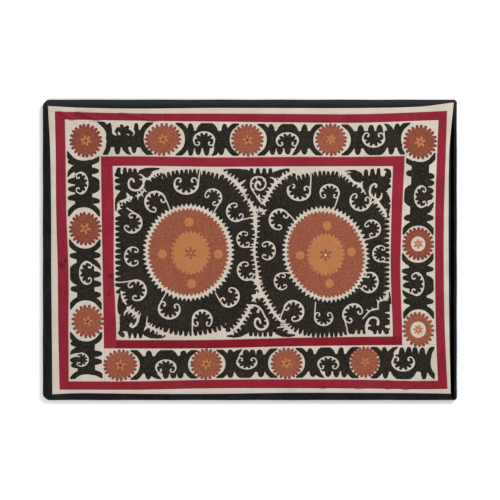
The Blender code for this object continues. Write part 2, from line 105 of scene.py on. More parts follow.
# Soft creases across the outer red band, where they cross its north or south strip, in X
Crease = namedtuple("Crease", "side west_end east_end height half_width")
CREASES = (
    Crease("north", -0.955, -0.885, 0.0066, 0.017),
    Crease("north", -0.860, -0.760, 0.0072, 0.020),
    Crease("north", -0.640, -0.480, 0.0056, 0.025),
    Crease("south", 0.367, 0.430, 0.0036, 0.016),
    Crease("south", 0.545, 0.690, 0.0034, 0.024),
    Crease("south", 0.690, 0.770, 0.0030, 0.018),
    Crease("south", 0.778, 0.865, 0.0048, 0.018),
)

# Slack in the laid cloth: a soft wave's length, height, direction and start
Wave = namedtuple("Wave", "length height direction start")
WAVES = (
    Wave(0.310, 0.00030, 14, 0.4),
    Wave(0.173, 0.00022, 74, 1.9),
    Wave(0.118, 0.00014, 121, 3.1),
    Wave(0.071, 0.00007, 48, 5.2),
)

Point = tuple[float, float]
Disk = tuple[float, float, float]
Tree = bpy.types.NodeTree
Socket = bpy.types.NodeSocket
Piece = bpy.types.Object


class Layer(Enum):
    """How high a stitched patch starts above the cream cloth, in metres."""

    CLOTH = 0.0
    FIRST_WORK = 0.0010
    SECOND_WORK = 0.0017


class Lay(Enum):
    """Which way the laid threads of a patch's body run."""

    LEVEL = "level"
    UPRIGHT = "upright"
    ROUND = "round"


def linear(hex_colour: str) -> tuple[float, float, float, float]:
    """Turn an sRGB hex colour into linear light.

    Args:
        hex_colour: Six hex digits.

    Returns:
        Red, green, blue and alpha.
    """
    channels = [int(hex_colour[i:i + 2], 16) / 255 for i in (0, 2, 4)]
    parts = [c / 12.92 if c <= 0.04045 else ((c + 0.055) / 1.055) ** 2.4 for c in channels]
    return parts[0], parts[1], parts[2], 1.0


def add_node(tree: Tree, kind: str, settings: Optional[dict] = None,
             inputs: Optional[dict] = None) -> bpy.types.Node:
    """Add a node with its settings and links.

    Args:
        tree: The tree that gets it.
        kind: The node's Blender type.
        settings: The node's own properties by name.
        inputs: Values or output sockets, by input name or number.

    Returns:
        The node.
    """
    node = tree.nodes.new(kind)
    for key, value in (settings or {}).items():
        setattr(node, key, value)
    for key, value in (inputs or {}).items():
        if isinstance(value, Socket):
            tree.links.new(value, node.inputs[key])
        else:
            node.inputs[key].default_value = value
    return node


def mixed(tree: Tree, factor: Socket, first: object, second: object,
          blend: str = "MIX") -> Socket:
    """Mix two colours, each a socket or a hex colour.

    Args:
        tree: The material's tree.
        factor: How much of the second one.
        first: The colour at factor 0.
        second: The colour at factor 1.
        blend: The kind of mixing.

    Returns:
        The mixed colour's socket.
    """
    colours = [linear(c) if isinstance(c, str) else c for c in (first, second)]
    node = add_node(tree, "ShaderNodeMix", {"data_type": "RGBA", "blend_type": blend},
                    {0: factor, 6: colours[0], 7: colours[1]})
    return node.outputs[2]


def patches(tree: Tree, coords: Socket, stretch: Sequence[float],
            low: float, high: float, most: float, detail: float = 2.0) -> Socket:
    """Noise patches as a factor.

    Args:
        tree: The material's tree.
        coords: Where the noise is read.
        stretch: Patches to a metre along each axis.
        low: Noise value that gives 0.
        high: Noise value that gives the most.
        most: The factor at high.
        detail: Octaves of noise.

    Returns:
        The factor's socket.
    """
    scaled = add_node(tree, "ShaderNodeMapping", None, {"Vector": coords, "Scale": tuple(stretch)})
    noise = add_node(tree, "ShaderNodeTexNoise", None,
                     {"Vector": scaled.outputs[0], "Scale": 1.0, "Detail": detail, "Roughness": 0.55})
    spread = add_node(tree, "ShaderNodeMapRange", None,
                      {"Value": noise.outputs[0], "From Min": low, "From Max": high, "To Max": most})
    return spread.outputs[0]


@dataclass(frozen=True)
class Stain:
    """A soaked-in spot on a cloth."""

    x: float
    y: float
    radius: float
    colour: str


@dataclass(frozen=True)
class Cotton:
    """Plain-woven cotton, hand spun: matt, with slubs that run both ways and uneven dye."""

    name: str
    slot: str
    colour: str
    shade: str
    light: str
    yarn_pitch: float
    roughness: float
    stains: tuple[Stain, ...] = ()
    painted_light_above: Optional[float] = None

    def material(self) -> bpy.types.Material:
        """Build the cloth's material, once."""
        made = bpy.data.materials.get(self.name)
        if made:
            return made
        made = bpy.data.materials.new(self.name)
        made.use_nodes = True
        tree = made.node_tree
        shader = tree.nodes["Principled BSDF"]
        coords = add_node(tree, "ShaderNodeTexCoord").outputs["Object"]
        # Slubs: thick places of yarn, 3 mm wide and up to 15 cm long, which take more or less dye
        weft = patches(tree, coords, (7, 310, 1), 0.36, 0.66, 0.55)
        warp = patches(tree, coords, (310, 7, 1), 0.36, 0.66, 0.55)
        colour = mixed(tree, weft, self.colour, self.shade)
        colour = mixed(tree, warp, colour, self.light)
        # Wear and washing leave palm-sized lighter and darker clouds
        colour = mixed(tree, patches(tree, coords, (6, 7, 1), 0.42, 0.70, 0.50, 4.0), colour, self.shade)
        colour = mixed(tree, patches(tree, coords, (9, 8, 4), 0.50, 0.78, 0.45, 3.0), colour, self.light)
        for stain in self.stains:
            colour = self.stained(tree, coords, colour, stain)
        # Painted light: from a given Y upwards the colour is lifted towards the light colour, for the
        # brighter light along the top of the board
        if self.painted_light_above is not None:
            parts = add_node(tree, "ShaderNodeSeparateXYZ", None, {0: coords})
            painted_top_light = add_node(tree, "ShaderNodeMapRange", None,
                            {"Value": parts.outputs["Y"], "From Min": self.painted_light_above,
                             "From Max": self.painted_light_above + 0.03, "To Max": 0.9})
            colour = mixed(tree, painted_top_light.outputs[0], colour, self.light)
        tree.links.new(colour, shader.inputs["Base Color"])
        shader.inputs["Roughness"].default_value = self.roughness
        shader.inputs["IOR"].default_value = 1.45
        shader.inputs["Specular IOR Level"].default_value = 0.05
        tree.links.new(self.weave(tree, coords, warp), shader.inputs["Normal"])
        return made

    def weave(self, tree: Tree, coords: Socket,
              slubs: Socket) -> Socket:
        """Plain weave as bump: over and under, one yarn pitch apart each way.

        Args:
            tree: The material's tree.
            coords: Object coordinates.
            slubs: A factor that is high on thick yarn.

        Returns:
            The normal's socket.
        """
        across = []
        for axis in ("X", "Y"):
            wave = add_node(tree, "ShaderNodeTexWave", {"bands_direction": axis},
                            {"Vector": coords, "Scale": 0.3142 / self.yarn_pitch, "Distortion": 0.7,
                             "Detail": 1.0, "Detail Scale": 0.6})
            across.append(add_node(tree, "ShaderNodeMath", {"operation": "SUBTRACT"},
                                   {0: wave.outputs["Fac"], 1: 0.5}).outputs[0])
        over = add_node(tree, "ShaderNodeMath", {"operation": "MULTIPLY"}, {0: across[0], 1: across[1]})
        high = add_node(tree, "ShaderNodeMath", {"operation": "MULTIPLY_ADD"},
                        {0: slubs, 1: 0.6, 2: over.outputs[0]})
        bump = add_node(tree, "ShaderNodeBump", None,
                        {"Height": high.outputs[0], "Strength": 0.55, "Distance": 0.00045})
        return bump.outputs[0]

    def stained(self, tree: Tree, coords: Socket,
                colour: Socket, stain: Stain) -> Socket:
        """Mix a soft-edged spot into a colour.

        Args:
            tree: The material's tree.
            coords: Object coordinates.
            colour: The colour so far.
            stain: The spot.

        Returns:
            The new colour's socket.
        """
        flat = add_node(tree, "ShaderNodeVectorMath", {"operation": "MULTIPLY"}, {0: coords, 1: (1, 1, 0)})
        away = add_node(tree, "ShaderNodeVectorMath", {"operation": "DISTANCE"},
                        {0: flat.outputs[0], 1: (stain.x, stain.y, 0)})
        ragged = patches(tree, coords, (70, 70, 1), 0.3, 0.7, stain.radius * 0.8)
        edge = add_node(tree, "ShaderNodeMath", {"operation": "ADD"}, {0: away.outputs["Value"], 1: ragged})
        soak = add_node(tree, "ShaderNodeMapRange", None,
                        {"Value": edge.outputs[0], "From Min": stain.radius * 1.9,
                         "From Max": stain.radius * 0.6, "To Max": 0.85})
        return mixed(tree, soak.outputs[0], colour, stain.colour)


@dataclass(frozen=True)
class Silk:
    """Silk floss laid side by side and couched: a soft sheen, streaks of dye along the threads."""

    name: str
    slot: str
    colour: str
    deep: str
    faded_dye_and_highlight: str
    tip: str
    roughness: float = 0.58

    def material(self) -> bpy.types.Material:
        """Build the stitched patch's material, once."""
        made = bpy.data.materials.get(self.name)
        if made:
            return made
        made = bpy.data.materials.new(self.name)
        made.use_nodes = True
        tree = made.node_tree
        shader = tree.nodes["Principled BSDF"]
        lay = add_node(tree, "ShaderNodeUVMap", {"uv_map": "lay"}).outputs[0]
        coords = add_node(tree, "ShaderNodeTexCoord").outputs["Object"]
        # Threads of one skein differ: streaks 3 mm wide, as long as a laid thread
        colour = mixed(tree, patches(tree, lay, (9, 330, 1), 0.38, 0.68, 0.75), self.colour, self.deep)
        colour = mixed(tree, patches(tree, lay, (14, 170, 1), 0.45, 0.75, 0.55), colour, self.faded_dye_and_highlight)
        # New skeins start every hand's width, a little off in colour
        colour = mixed(tree, patches(tree, coords, (8, 9, 1), 0.45, 0.70, 0.40, 4.0), colour, self.faded_dye_and_highlight)
        colour = mixed(tree, patches(tree, coords, (13, 12, 3), 0.50, 0.72, 0.40, 4.0), colour, self.deep)
        # Floss lies higher and lower from stitch to stitch, and the light and dark that this gives is painted
        # into the colour as a fine grain of painted shade and painted highlight
        colour = mixed(tree, patches(tree, lay, (85, 150, 1), 0.42, 0.60, 0.80, 1.0), colour, self.deep)
        colour = mixed(tree, patches(tree, lay, (75, 180, 2), 0.48, 0.66, 0.75, 1.0), colour, self.faded_dye_and_highlight)
        tips = add_node(tree, "ShaderNodeAttribute", {"attribute_name": "tip"})
        colour = mixed(tree, tips.outputs["Fac"], colour, self.tip)
        # Floss is about 0.7 mm thick. It is drawn 1.8 mm, with a couching stitch each 7 mm, to show
        rows = add_node(tree, "ShaderNodeTexBrick", {"offset": 0.37, "squash": 1.0},
                        {"Vector": lay, "Scale": 1.0, "Mortar Size": 0.00035, "Mortar Smooth": 0.8,
                         "Brick Width": 0.007, "Row Height": 0.0018, "Bias": 0.0,
                         "Color1": (1, 1, 1, 1), "Color2": (0.8, 0.8, 0.8, 1), "Mortar": (0, 0, 0, 1)})
        # Painted shade: the colour is darkened towards the deep colour in the grooves between the rows of
        # floss and at the couching stitches
        colour = mixed(tree, add_node(tree, "ShaderNodeMath", {"operation": "MULTIPLY"},
                                      {0: rows.outputs["Fac"], 1: 0.35}).outputs[0], colour, self.deep)
        tree.links.new(colour, shader.inputs["Base Color"])
        bump = add_node(tree, "ShaderNodeBump", {"invert": True},
                        {"Height": rows.outputs["Fac"], "Strength": 0.6, "Distance": 0.0004})
        tree.links.new(bump.outputs[0], shader.inputs["Normal"])
        shader.inputs["Roughness"].default_value = self.roughness
        shader.inputs["IOR"].default_value = 1.54
        shader.inputs["Specular IOR Level"].default_value = 0.09
        return made


# The black cover is painted lighter along its top edge, as painted light
BLACK_COTTON = Cotton("black_plain_woven_cotton", "board_cover", "111113", "0C0C0E", "2A2B2D",
                      0.0016, 0.93, painted_light_above=0.708)
CREAM_COTTON = Cotton("unbleached_hand_woven_cotton", "cream_cotton", "BEB3A6", "A99C8B", "C9C0B8",
                      0.0018, 0.92)
OUTER_RED_COTTON = Cotton(
    "madder_red_woven_cotton", "outer_red_cotton", "7E202C", "6C1823", "8C2A39", 0.0016, 0.88,
    (Stain(-0.940, -0.078, 0.015, "33141C"), Stain(-0.922, -0.052, 0.010, "3A161E")))
INNER_RED_COTTON = Cotton(
    "cochineal_red_woven_cotton", "inner_red_cotton", "84222F", "711A26", "912A3A", 0.0016, 0.88,
    (Stain(-0.694, -0.132, 0.016, "3C1A22"), Stain(-0.706, -0.219, 0.010, "5C1C28")))
# The south strip of the inner red band is given a darker red than its other three strips
SOUTH_RED_COTTON = Cotton(
    "unfaded_cochineal_red_woven_cotton", "inner_red_cotton", "761721", "66121B", "821E2B", 0.0016, 0.88)
BLACK_SILK = Silk("couched_black_silk", "black_silk", "181612", "0C0C0B", "3A3124", "141411")
RUST_SILK = Silk("couched_rust_silk", "rust_silk", "8E5039", "783F2D", "9A5C47", "743B2C")
RED_RUST_SILK = Silk("couched_reddish_rust_silk", "rust_silk", "824332", "6C3426", "8E513F", "6A3126")
DARK_RUST_SILK = Silk("couched_dark_rust_silk", "rust_silk", "64281A", "521F14", "703223", "64281A")
ORANGE_SILK = Silk("couched_orange_silk", "orange_silk", "AC7046", "9C6039", "B87C50", "AC7046")


def stand(name: str, data: Optional[bpy.types.ID]) -> Piece:
    """Make an object of some data and put it in the scene."""
    made = bpy.data.objects.new(name, data)
    bpy.context.scene.collection.objects.link(made)
    return made


def put_piece(name: str, mesh: bpy.types.Mesh, finish: object, *nodes: str) -> Piece:
    """Put a mesh in the scene as one piece of the object.

    Args:
        name: The piece's name.
        mesh: Its mesh, in place.
        finish: A Cotton or a Silk.
        *nodes: The solids that it stands for.

    Returns:
        The piece.
    """
    piece = stand(name, mesh)
    if not mesh.materials:
        mesh.materials.append(finish.material())
    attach(piece, "root")
    if nodes:
        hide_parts(*nodes)
    LOG.info("%s: %d faces", name, len(mesh.polygons))
    return piece


def mesh_of(name: str, points: np.ndarray, faces: np.ndarray) -> bpy.types.Mesh:
    """Make a smooth mesh from arrays.

    Args:
        name: The mesh's name.
        points: Places, one a row.
        faces: Corner numbers, one face a row.

    Returns:
        The mesh.
    """
    mesh = bpy.data.meshes.new(name)
    corners = faces.shape[1]
    mesh.vertices.add(len(points))
    mesh.vertices.foreach_set("co", np.ascontiguousarray(points, np.float32).ravel())
    mesh.loops.add(faces.size)
    mesh.loops.foreach_set("vertex_index", np.ascontiguousarray(faces, np.int32).ravel())
    mesh.polygons.add(len(faces))
    mesh.polygons.foreach_set("loop_start", np.arange(len(faces), dtype=np.int32) * corners)
    mesh.polygons.foreach_set("use_smooth", np.ones(len(faces), bool))
    mesh.update(calc_edges=True)
    mesh.validate()
    return mesh


def slack(x: np.ndarray, y: np.ndarray) -> np.ndarray:
    """How far the laid cloth stands above flat, from its soft waves."""
    lift = np.zeros(np.broadcast(x, y).shape)
    for wave in WAVES:
        turn = radians(wave.direction)
        phase = (x * cos(turn) + y * sin(turn)) * tau / wave.length + wave.start
        lift = lift + wave.height * (1 + np.sin(phase + 0.6 * np.sin(phase * 0.37)))
    return lift


def smooth_line(side: str, line: str, at: float) -> float:
    """Where a line runs at a place along one side: a smooth curve, straight on past its ends.

    Args:
        side: The side of the cloth.
        line: The line's name in the sections.
        at: The place along the side.

    Returns:
        X for the west and east sides, and Y for the others.
    """
    rows = EDGES[side]
    places = [row.at for row in rows]
    values = [getattr(row, line) for row in rows]
    last = len(rows) - 1
    slopes = []
    for i in range(len(rows)):
        before, after = max(i - 1, 0), min(i + 1, last)
        slopes.append((values[after] - values[before]) / (places[after] - places[before]))
    if at <= places[0]:
        return values[0] + slopes[0] * (at - places[0])
    if at >= places[last]:
        return values[last] + slopes[last] * (at - places[last])
    i = max(k for k in range(last) if places[k] <= at)
    width = places[i + 1] - places[i]
    t = (at - places[i]) / width
    rise = t * t * (3 - 2 * t)
    return (values[i] * (1 - rise) + values[i + 1] * rise
            + width * t * (1 - t) * ((1 - t) * slopes[i] - t * slopes[i + 1]))


def crossing(upright: tuple[str, str], level: tuple[str, str], shift: Point = (0.0, 0.0)) -> Point:
    """The corner where an upright line meets a level one.

    Args:
        upright: Side and name of the upright line.
        level: Side and name of the level line.
        shift: How far the corner is moved from the lines.

    Returns:
        The corner.
    """
    x, y = 0.0, 0.0
    for _ in range(12):
        x = smooth_line(*upright, y) + shift[0]
        y = smooth_line(*level, x) + shift[1]
    return x, y


@dataclass
class Panel:
    """One cut sheet of the cloth, between four lines that are each given by side and name."""

    name: str
    west: tuple[str, str]
    east: tuple[str, str]
    south: tuple[str, str]
    north: tuple[str, str]
    thickness: float
    finish: Cotton
    creased: Optional[str] = None
    step: float = 0.009

    def shares(self, length: float) -> np.ndarray:
        """Rows of the grid from 0 to 1: closer near both edges, where the seam draws the cloth down."""
        near = [0.0, 0.0015, 0.0035, 0.0065, 0.0100]
        count = max(2, ceil((length - 0.02) / self.step))
        middle = np.linspace(0.010, length - 0.010, count + 1)[1:-1]
        return np.array(near + list(middle) + [length - n for n in reversed(near)]) / length

    def surface(self) -> tuple[np.ndarray, np.ndarray, np.ndarray]:
        """X, Y and how far the seams draw the cloth down, over the grid of the sheet."""
        half = AIR / 2
        sw, se = crossing(self.west, self.south, (half, half)), crossing(self.east, self.south, (-half, half))
        nw = crossing(self.west, self.north, (half, -half))
        ne = crossing(self.east, self.north, (-half, -half))
        long_x = (se[0] - sw[0] + ne[0] - nw[0]) / 2
        long_y = (nw[1] - sw[1] + ne[1] - se[1]) / 2
        s, t = self.shares(long_x)[None, :], self.shares(long_y)[:, None]
        bottom_x, top_x = sw[0] + (se[0] - sw[0]) * s, nw[0] + (ne[0] - nw[0]) * s
        left_y, right_y = sw[1] + (nw[1] - sw[1]) * t, se[1] + (ne[1] - se[1]) * t
        bottom_y = np.array([[smooth_line(*self.south, x) + half for x in bottom_x[0]]])
        top_y = np.array([[smooth_line(*self.north, x) - half for x in top_x[0]]])
        left_x = np.array([[smooth_line(*self.west, y[0]) + half] for y in left_y])
        right_x = np.array([[smooth_line(*self.east, y[0]) - half] for y in right_y])
        x = bottom_x * (1 - t) + top_x * t + (left_x - (sw[0] + (nw[0] - sw[0]) * t)) * (1 - s)
        x = x + (right_x - (se[0] + (ne[0] - se[0]) * t)) * s
        y = left_y * (1 - s) + right_y * s + (bottom_y - (sw[1] + (se[1] - sw[1]) * s)) * (1 - t)
        y = y + (top_y - (nw[1] + (ne[1] - nw[1]) * s)) * t
        to_seam = np.minimum(np.minimum(s, 1 - s) * long_x, np.minimum(t, 1 - t) * long_y)
        drawn = 0.0007 * np.clip(1 - to_seam / 0.010, 0, 1) ** 2
        return x, y, drawn

    def crease_lift(self, x: np.ndarray, y: np.ndarray) -> np.ndarray:
        """How far the soft creases lift the sheet."""
        lift = np.zeros(x.shape)
        for crease in CREASES:
            if crease.side != self.creased:
                continue
            high = smooth_line(crease.side, "red_outside", crease.west_end)
            low = smooth_line(crease.side, "red_inside", crease.east_end)
            middle = crease.west_end + (crease.east_end - crease.west_end) * (y - high) / (low - high)
            away = np.clip(np.abs(x - middle) / (crease.half_width * 1.5), 0, 1)
            lift = np.maximum(lift, crease.height * (0.5 + 0.5 * np.cos(pi * away)) ** 1.4)
        return lift

    def build(self) -> Piece:
        x, y, drawn = self.surface()
        top = CLOTH_BASE + self.thickness + slack(x, y) + self.crease_lift(x, y) - drawn
        rows, columns = x.shape
        upper = np.stack([x, y, top], -1).reshape(-1, 3)
        lower = upper - [0, 0, self.thickness]
        lower[:, 2] = np.maximum(lower[:, 2], BOARD_THICKNESS + 0.0001)
        number = np.arange(rows * columns).reshape(rows, columns)
        corners = [number[:-1, :-1], number[:-1, 1:], number[1:, 1:], number[1:, :-1]]
        faces = np.stack(corners, -1).reshape(-1, 4)
        rim = np.concatenate([number[0, :-1], number[:-1, -1], number[-1, :0:-1], number[:0:-1, 0]])
        after = np.roll(rim, -1)
        under = rows * columns
        walls = np.stack([rim, rim + under, after + under, after], -1)
        shell = np.vstack([faces, faces[:, ::-1] + under, walls])
        mesh = mesh_of(self.name, np.vstack([upper, lower]), shell)
        piece = put_piece(self.name + "_cloth", mesh, self.finish, self.name)
        width, length = float(np.ptp(y)), float(np.ptp(x))
        cells = 0.5 * np.abs((x[1:, 1:] - x[:-1, :-1]) * (y[1:, :-1] - y[:-1, 1:])
                             - (x[1:, :-1] - x[:-1, 1:]) * (y[1:, 1:] - y[:-1, :-1]))
        area = float(cells.sum())
        LOG.info("%s is cut %.3f by %.3f m, %.4f square metres", self.name, width, length, area)
        return piece


FAR = 0.05


def cone_distance(x: np.ndarray, y: np.ndarray, start: Sequence[float], end: Sequence[float]) -> np.ndarray:
    """Signed distance to a rounded, tapered bar.

    Args:
        x: X of the places.
        y: Y of the places.
        start: X, Y and radius of one end.
        end: X, Y and radius of the other.

    Returns:
        The distance, below zero inside.
    """
    (x0, y0, r0), (x1, y1, r1) = start, end
    long = hypot(x1 - x0, y1 - y0)
    if long <= abs(r0 - r1) + 1e-7:
        x0, y0, r0 = (x0, y0, r0) if r0 > r1 else (x1, y1, r1)
        return np.hypot(x - x0, y - y0) - r0
    ux, uy = (x1 - x0) / long, (y1 - y0) / long
    along = (x - x0) * ux + (y - y0) * uy
    across = np.abs((y - y0) * ux - (x - x0) * uy)
    lean = (r0 - r1) / long
    upright = sqrt(1 - lean * lean)
    place = along * upright - across * lean
    side = across * upright + along * lean - r0
    return np.where(place < 0, np.hypot(across, along) - r0,
                    np.where(place > upright * long, np.hypot(across, along - long) - r1, side))


class Canvas:
    """A motif as a signed distance on an even grid, below zero where it is stitched."""

    def __init__(self, west: float, south: float, east: float, north: float, step: float = 0.0016) -> None:
        """Start with bare cloth.

        Args:
            west: Lowest X.
            south: Lowest Y.
            east: Highest X.
            north: Highest Y.
            step: Grid spacing.
        """
        self.step = step
        self.x = np.arange(west, east + step, step)
        self.y = np.arange(south, north + step, step)
        self.depth = np.full((len(self.y), len(self.x)), FAR)
        self.block = np.zeros(self.depth.shape, np.int16)
        self.turns = [0.0]

    def part(self, west: float, south: float, east: float, north: float) -> tuple[slice, slice]:
        """The rows and columns of the grid that hold a box and a little round it."""
        margin = 0.006
        found = []
        for low, high, places in ((south, north, self.y), (west, east, self.x)):
            ends = [(low - margin - places[0]) / self.step, (high + margin - places[0]) / self.step + 2]
            found.append(slice(*np.clip(ends, 0, len(places)).astype(int)))
        return found[0], found[1]

    def put(self, where: tuple[slice, slice], distance: np.ndarray, bare: bool,
            turn: Optional[float]) -> None:
        """Add a shape to the motif, or leave it bare.

        Args:
            where: Rows and columns of the distance.
            distance: Signed distance to the shape.
            bare: True if the shape is left unstitched.
            turn: Which way its threads run, or None for the body's own way.
        """
        old = self.depth[where]
        if bare:
            self.depth[where] = np.maximum(old, -distance)
            return
        if turn is None:
            number = 0
        else:
            turn = round(turn % 180 / 3) * 3.0
            if turn not in self.turns[1:]:
                self.turns.append(turn)
            number = self.turns.index(turn, 1)
        self.block[where] = np.where(distance < np.minimum(old, 0.001), number, self.block[where])
        self.depth[where] = np.minimum(old, distance)

    def stroke(self, points: Sequence[Sequence[float]], bare: bool = False, body: bool = False) -> None:
        """Draw a line through points with a radius at each.

        Args:
            points: X, Y and radius, at least two.
            bare: True if the line is left unstitched.
            body: True if its threads run as the body's do.
        """
        for start, end in zip(points[:-1], points[1:]):
            reach = max(start[2], end[2])
            where = self.part(min(start[0], end[0]) - reach, min(start[1], end[1]) - reach,
                              max(start[0], end[0]) + reach, max(start[1], end[1]) + reach)
            distance = cone_distance(self.x[None, where[1]], self.y[where[0], None], start, end)
            turn = None if body else degrees(atan2(end[1] - start[1], end[0] - start[0]))
            self.put(where, distance, bare, turn)

    def oval(self, x: float, y: float, rx: float, ry: float, turn: float = 0.0, bare: bool = False,
             below: Optional[float] = None) -> None:
        """Draw an oval.

        Args:
            x: X of its centre.
            y: Y of its centre.
            rx: Radius along its own first axis.
            ry: Radius along its second.
            turn: How its first axis is turned.
            bare: True if it is left unstitched.
            below: Only the part whose second coordinate is under this.
        """
        reach = max(rx, ry)
        where = self.part(x - reach, y - reach, x + reach, y + reach)
        px, py = self.x[None, where[1]] - x, self.y[where[0], None] - y
        c, s = cos(radians(turn)), sin(radians(turn))
        a, b = px * c + py * s, py * c - px * s
        share = np.hypot(a / rx, b / ry)
        distance = share * (share - 1) / np.maximum(np.hypot(a / rx ** 2, b / ry ** 2), 1e-6)
        if below is not None:
            distance = np.maximum(distance, b - below)
        self.put(where, distance, bare, None)

    def field(self, distance: Callable[[np.ndarray, np.ndarray], np.ndarray], bare: bool = False) -> None:
        """Draw a shape given by its own distance function of X and Y."""
        everywhere = (slice(0, len(self.y)), slice(0, len(self.x)))
        self.put(everywhere, distance(self.x[None, :], self.y[:, None]), bare, None)

    def contours(self, level: float) -> list[np.ndarray]:
        """Closed outlines at one depth, with the stitched side on their left.

        Args:
            level: The signed distance that they follow.

        Returns:
            One array of X and Y for each outline.
        """
        depth = self.depth - level
        depth[[0, -1], :] = FAR
        depth[:, [0, -1]] = FAR
        inside = depth < 0
        rows, columns = depth.shape
        level_cut = inside[:, :-1] != inside[:, 1:]
        upright_cut = inside[:-1, :] != inside[1:, :]
        j, i = np.nonzero(level_cut)
        share = depth[j, i] / (depth[j, i] - depth[j, i + 1])
        level_points = np.stack([self.x[i] + share * self.step, self.y[j]], -1)
        level_number = np.full(level_cut.shape, -1)
        level_number[j, i] = np.arange(len(j))
        j, i = np.nonzero(upright_cut)
        share = depth[j, i] / (depth[j, i] - depth[j + 1, i])
        upright_points = np.stack([self.x[i], self.y[j] + share * self.step], -1)
        upright_number = np.full(upright_cut.shape, -1)
        upright_number[j, i] = np.arange(len(j)) + len(level_points)
        points = np.vstack([level_points, upright_points])
        case = (inside[:-1, :-1] + 2 * inside[:-1, 1:] + 4 * inside[1:, 1:] + 8 * inside[1:, :-1])
        sides = {"bottom": level_number[:-1], "top": level_number[1:],
                 "left": upright_number[:, :-1], "right": upright_number[:, 1:]}
        ways = {1: ["bottom left"], 2: ["right bottom"], 3: ["right left"], 4: ["top right"],
                5: ["bottom left", "top right"], 6: ["top bottom"], 7: ["top left"], 8: ["left top"],
                9: ["bottom top"], 10: ["right bottom", "left top"], 11: ["right top"], 12: ["left right"],
                13: ["bottom right"], 14: ["left bottom"]}
        following = np.full(len(points), -1)
        for number, pairs in ways.items():
            found = case == number
            for pair in pairs:
                start, end = pair.split()
                following[sides[start][found]] = sides[end][found]
        loops, left = [], following >= 0
        chain = following.tolist()
        for first in range(len(chain)):
            if not left[first]:
                continue
            loop, at = [], first
            while left[at]:
                left[at] = False
                loop.append(at)
                at = chain[at]
            loop = points[loop]
            after = np.roll(loop, -1, 0)
            area = float((loop[:, 0] * after[:, 1] - after[:, 0] * loop[:, 1]).sum()) / 2
            if area > 60e-6 or area < -12e-6:
                loops.append(thinned(loop, 0.00016))
        return [loop for loop in loops if len(loop) > 3]

    def read(self, grid: np.ndarray, x: np.ndarray, y: np.ndarray, nearest: bool = False) -> np.ndarray:
        """A grid's values at places, blended between its cells or from the nearest one."""
        i = np.clip((x - self.x[0]) / self.step, 0, len(self.x) - 1.001)
        j = np.clip((y - self.y[0]) / self.step, 0, len(self.y) - 1.001)
        if nearest:
            return grid[np.rint(j).astype(int), np.rint(i).astype(int)]
        a, b = i.astype(int), j.astype(int)
        s, t = i - a, j - b
        return ((grid[b, a] * (1 - s) + grid[b, a + 1] * s) * (1 - t)
                + (grid[b + 1, a] * (1 - s) + grid[b + 1, a + 1] * s) * t)


def thinned(loop: np.ndarray, allowance: float) -> np.ndarray:
    """An outline with the points left out that lie close to a straight line between their neighbours.

    Args:
        loop: The outline.
        allowance: How far a point may lie off the line and still be left out.

    Returns:
        The lighter outline.
    """
    for odd in (1, 0, 1, 0):
        before, after = np.roll(loop, 1, 0), np.roll(loop, -1, 0)
        span = after - before
        long = np.maximum(np.hypot(span[:, 0], span[:, 1]), 1e-9)
        away = loop - before
        off = np.abs(span[:, 0] * away[:, 1] - span[:, 1] * away[:, 0]) / long
        spare = (off < allowance) & (long < 0.009) & (np.arange(len(loop)) % 2 == odd)
        spare[-1] = False
        if (~spare).sum() < 6:
            return loop
        loop = loop[~spare]
    return loop


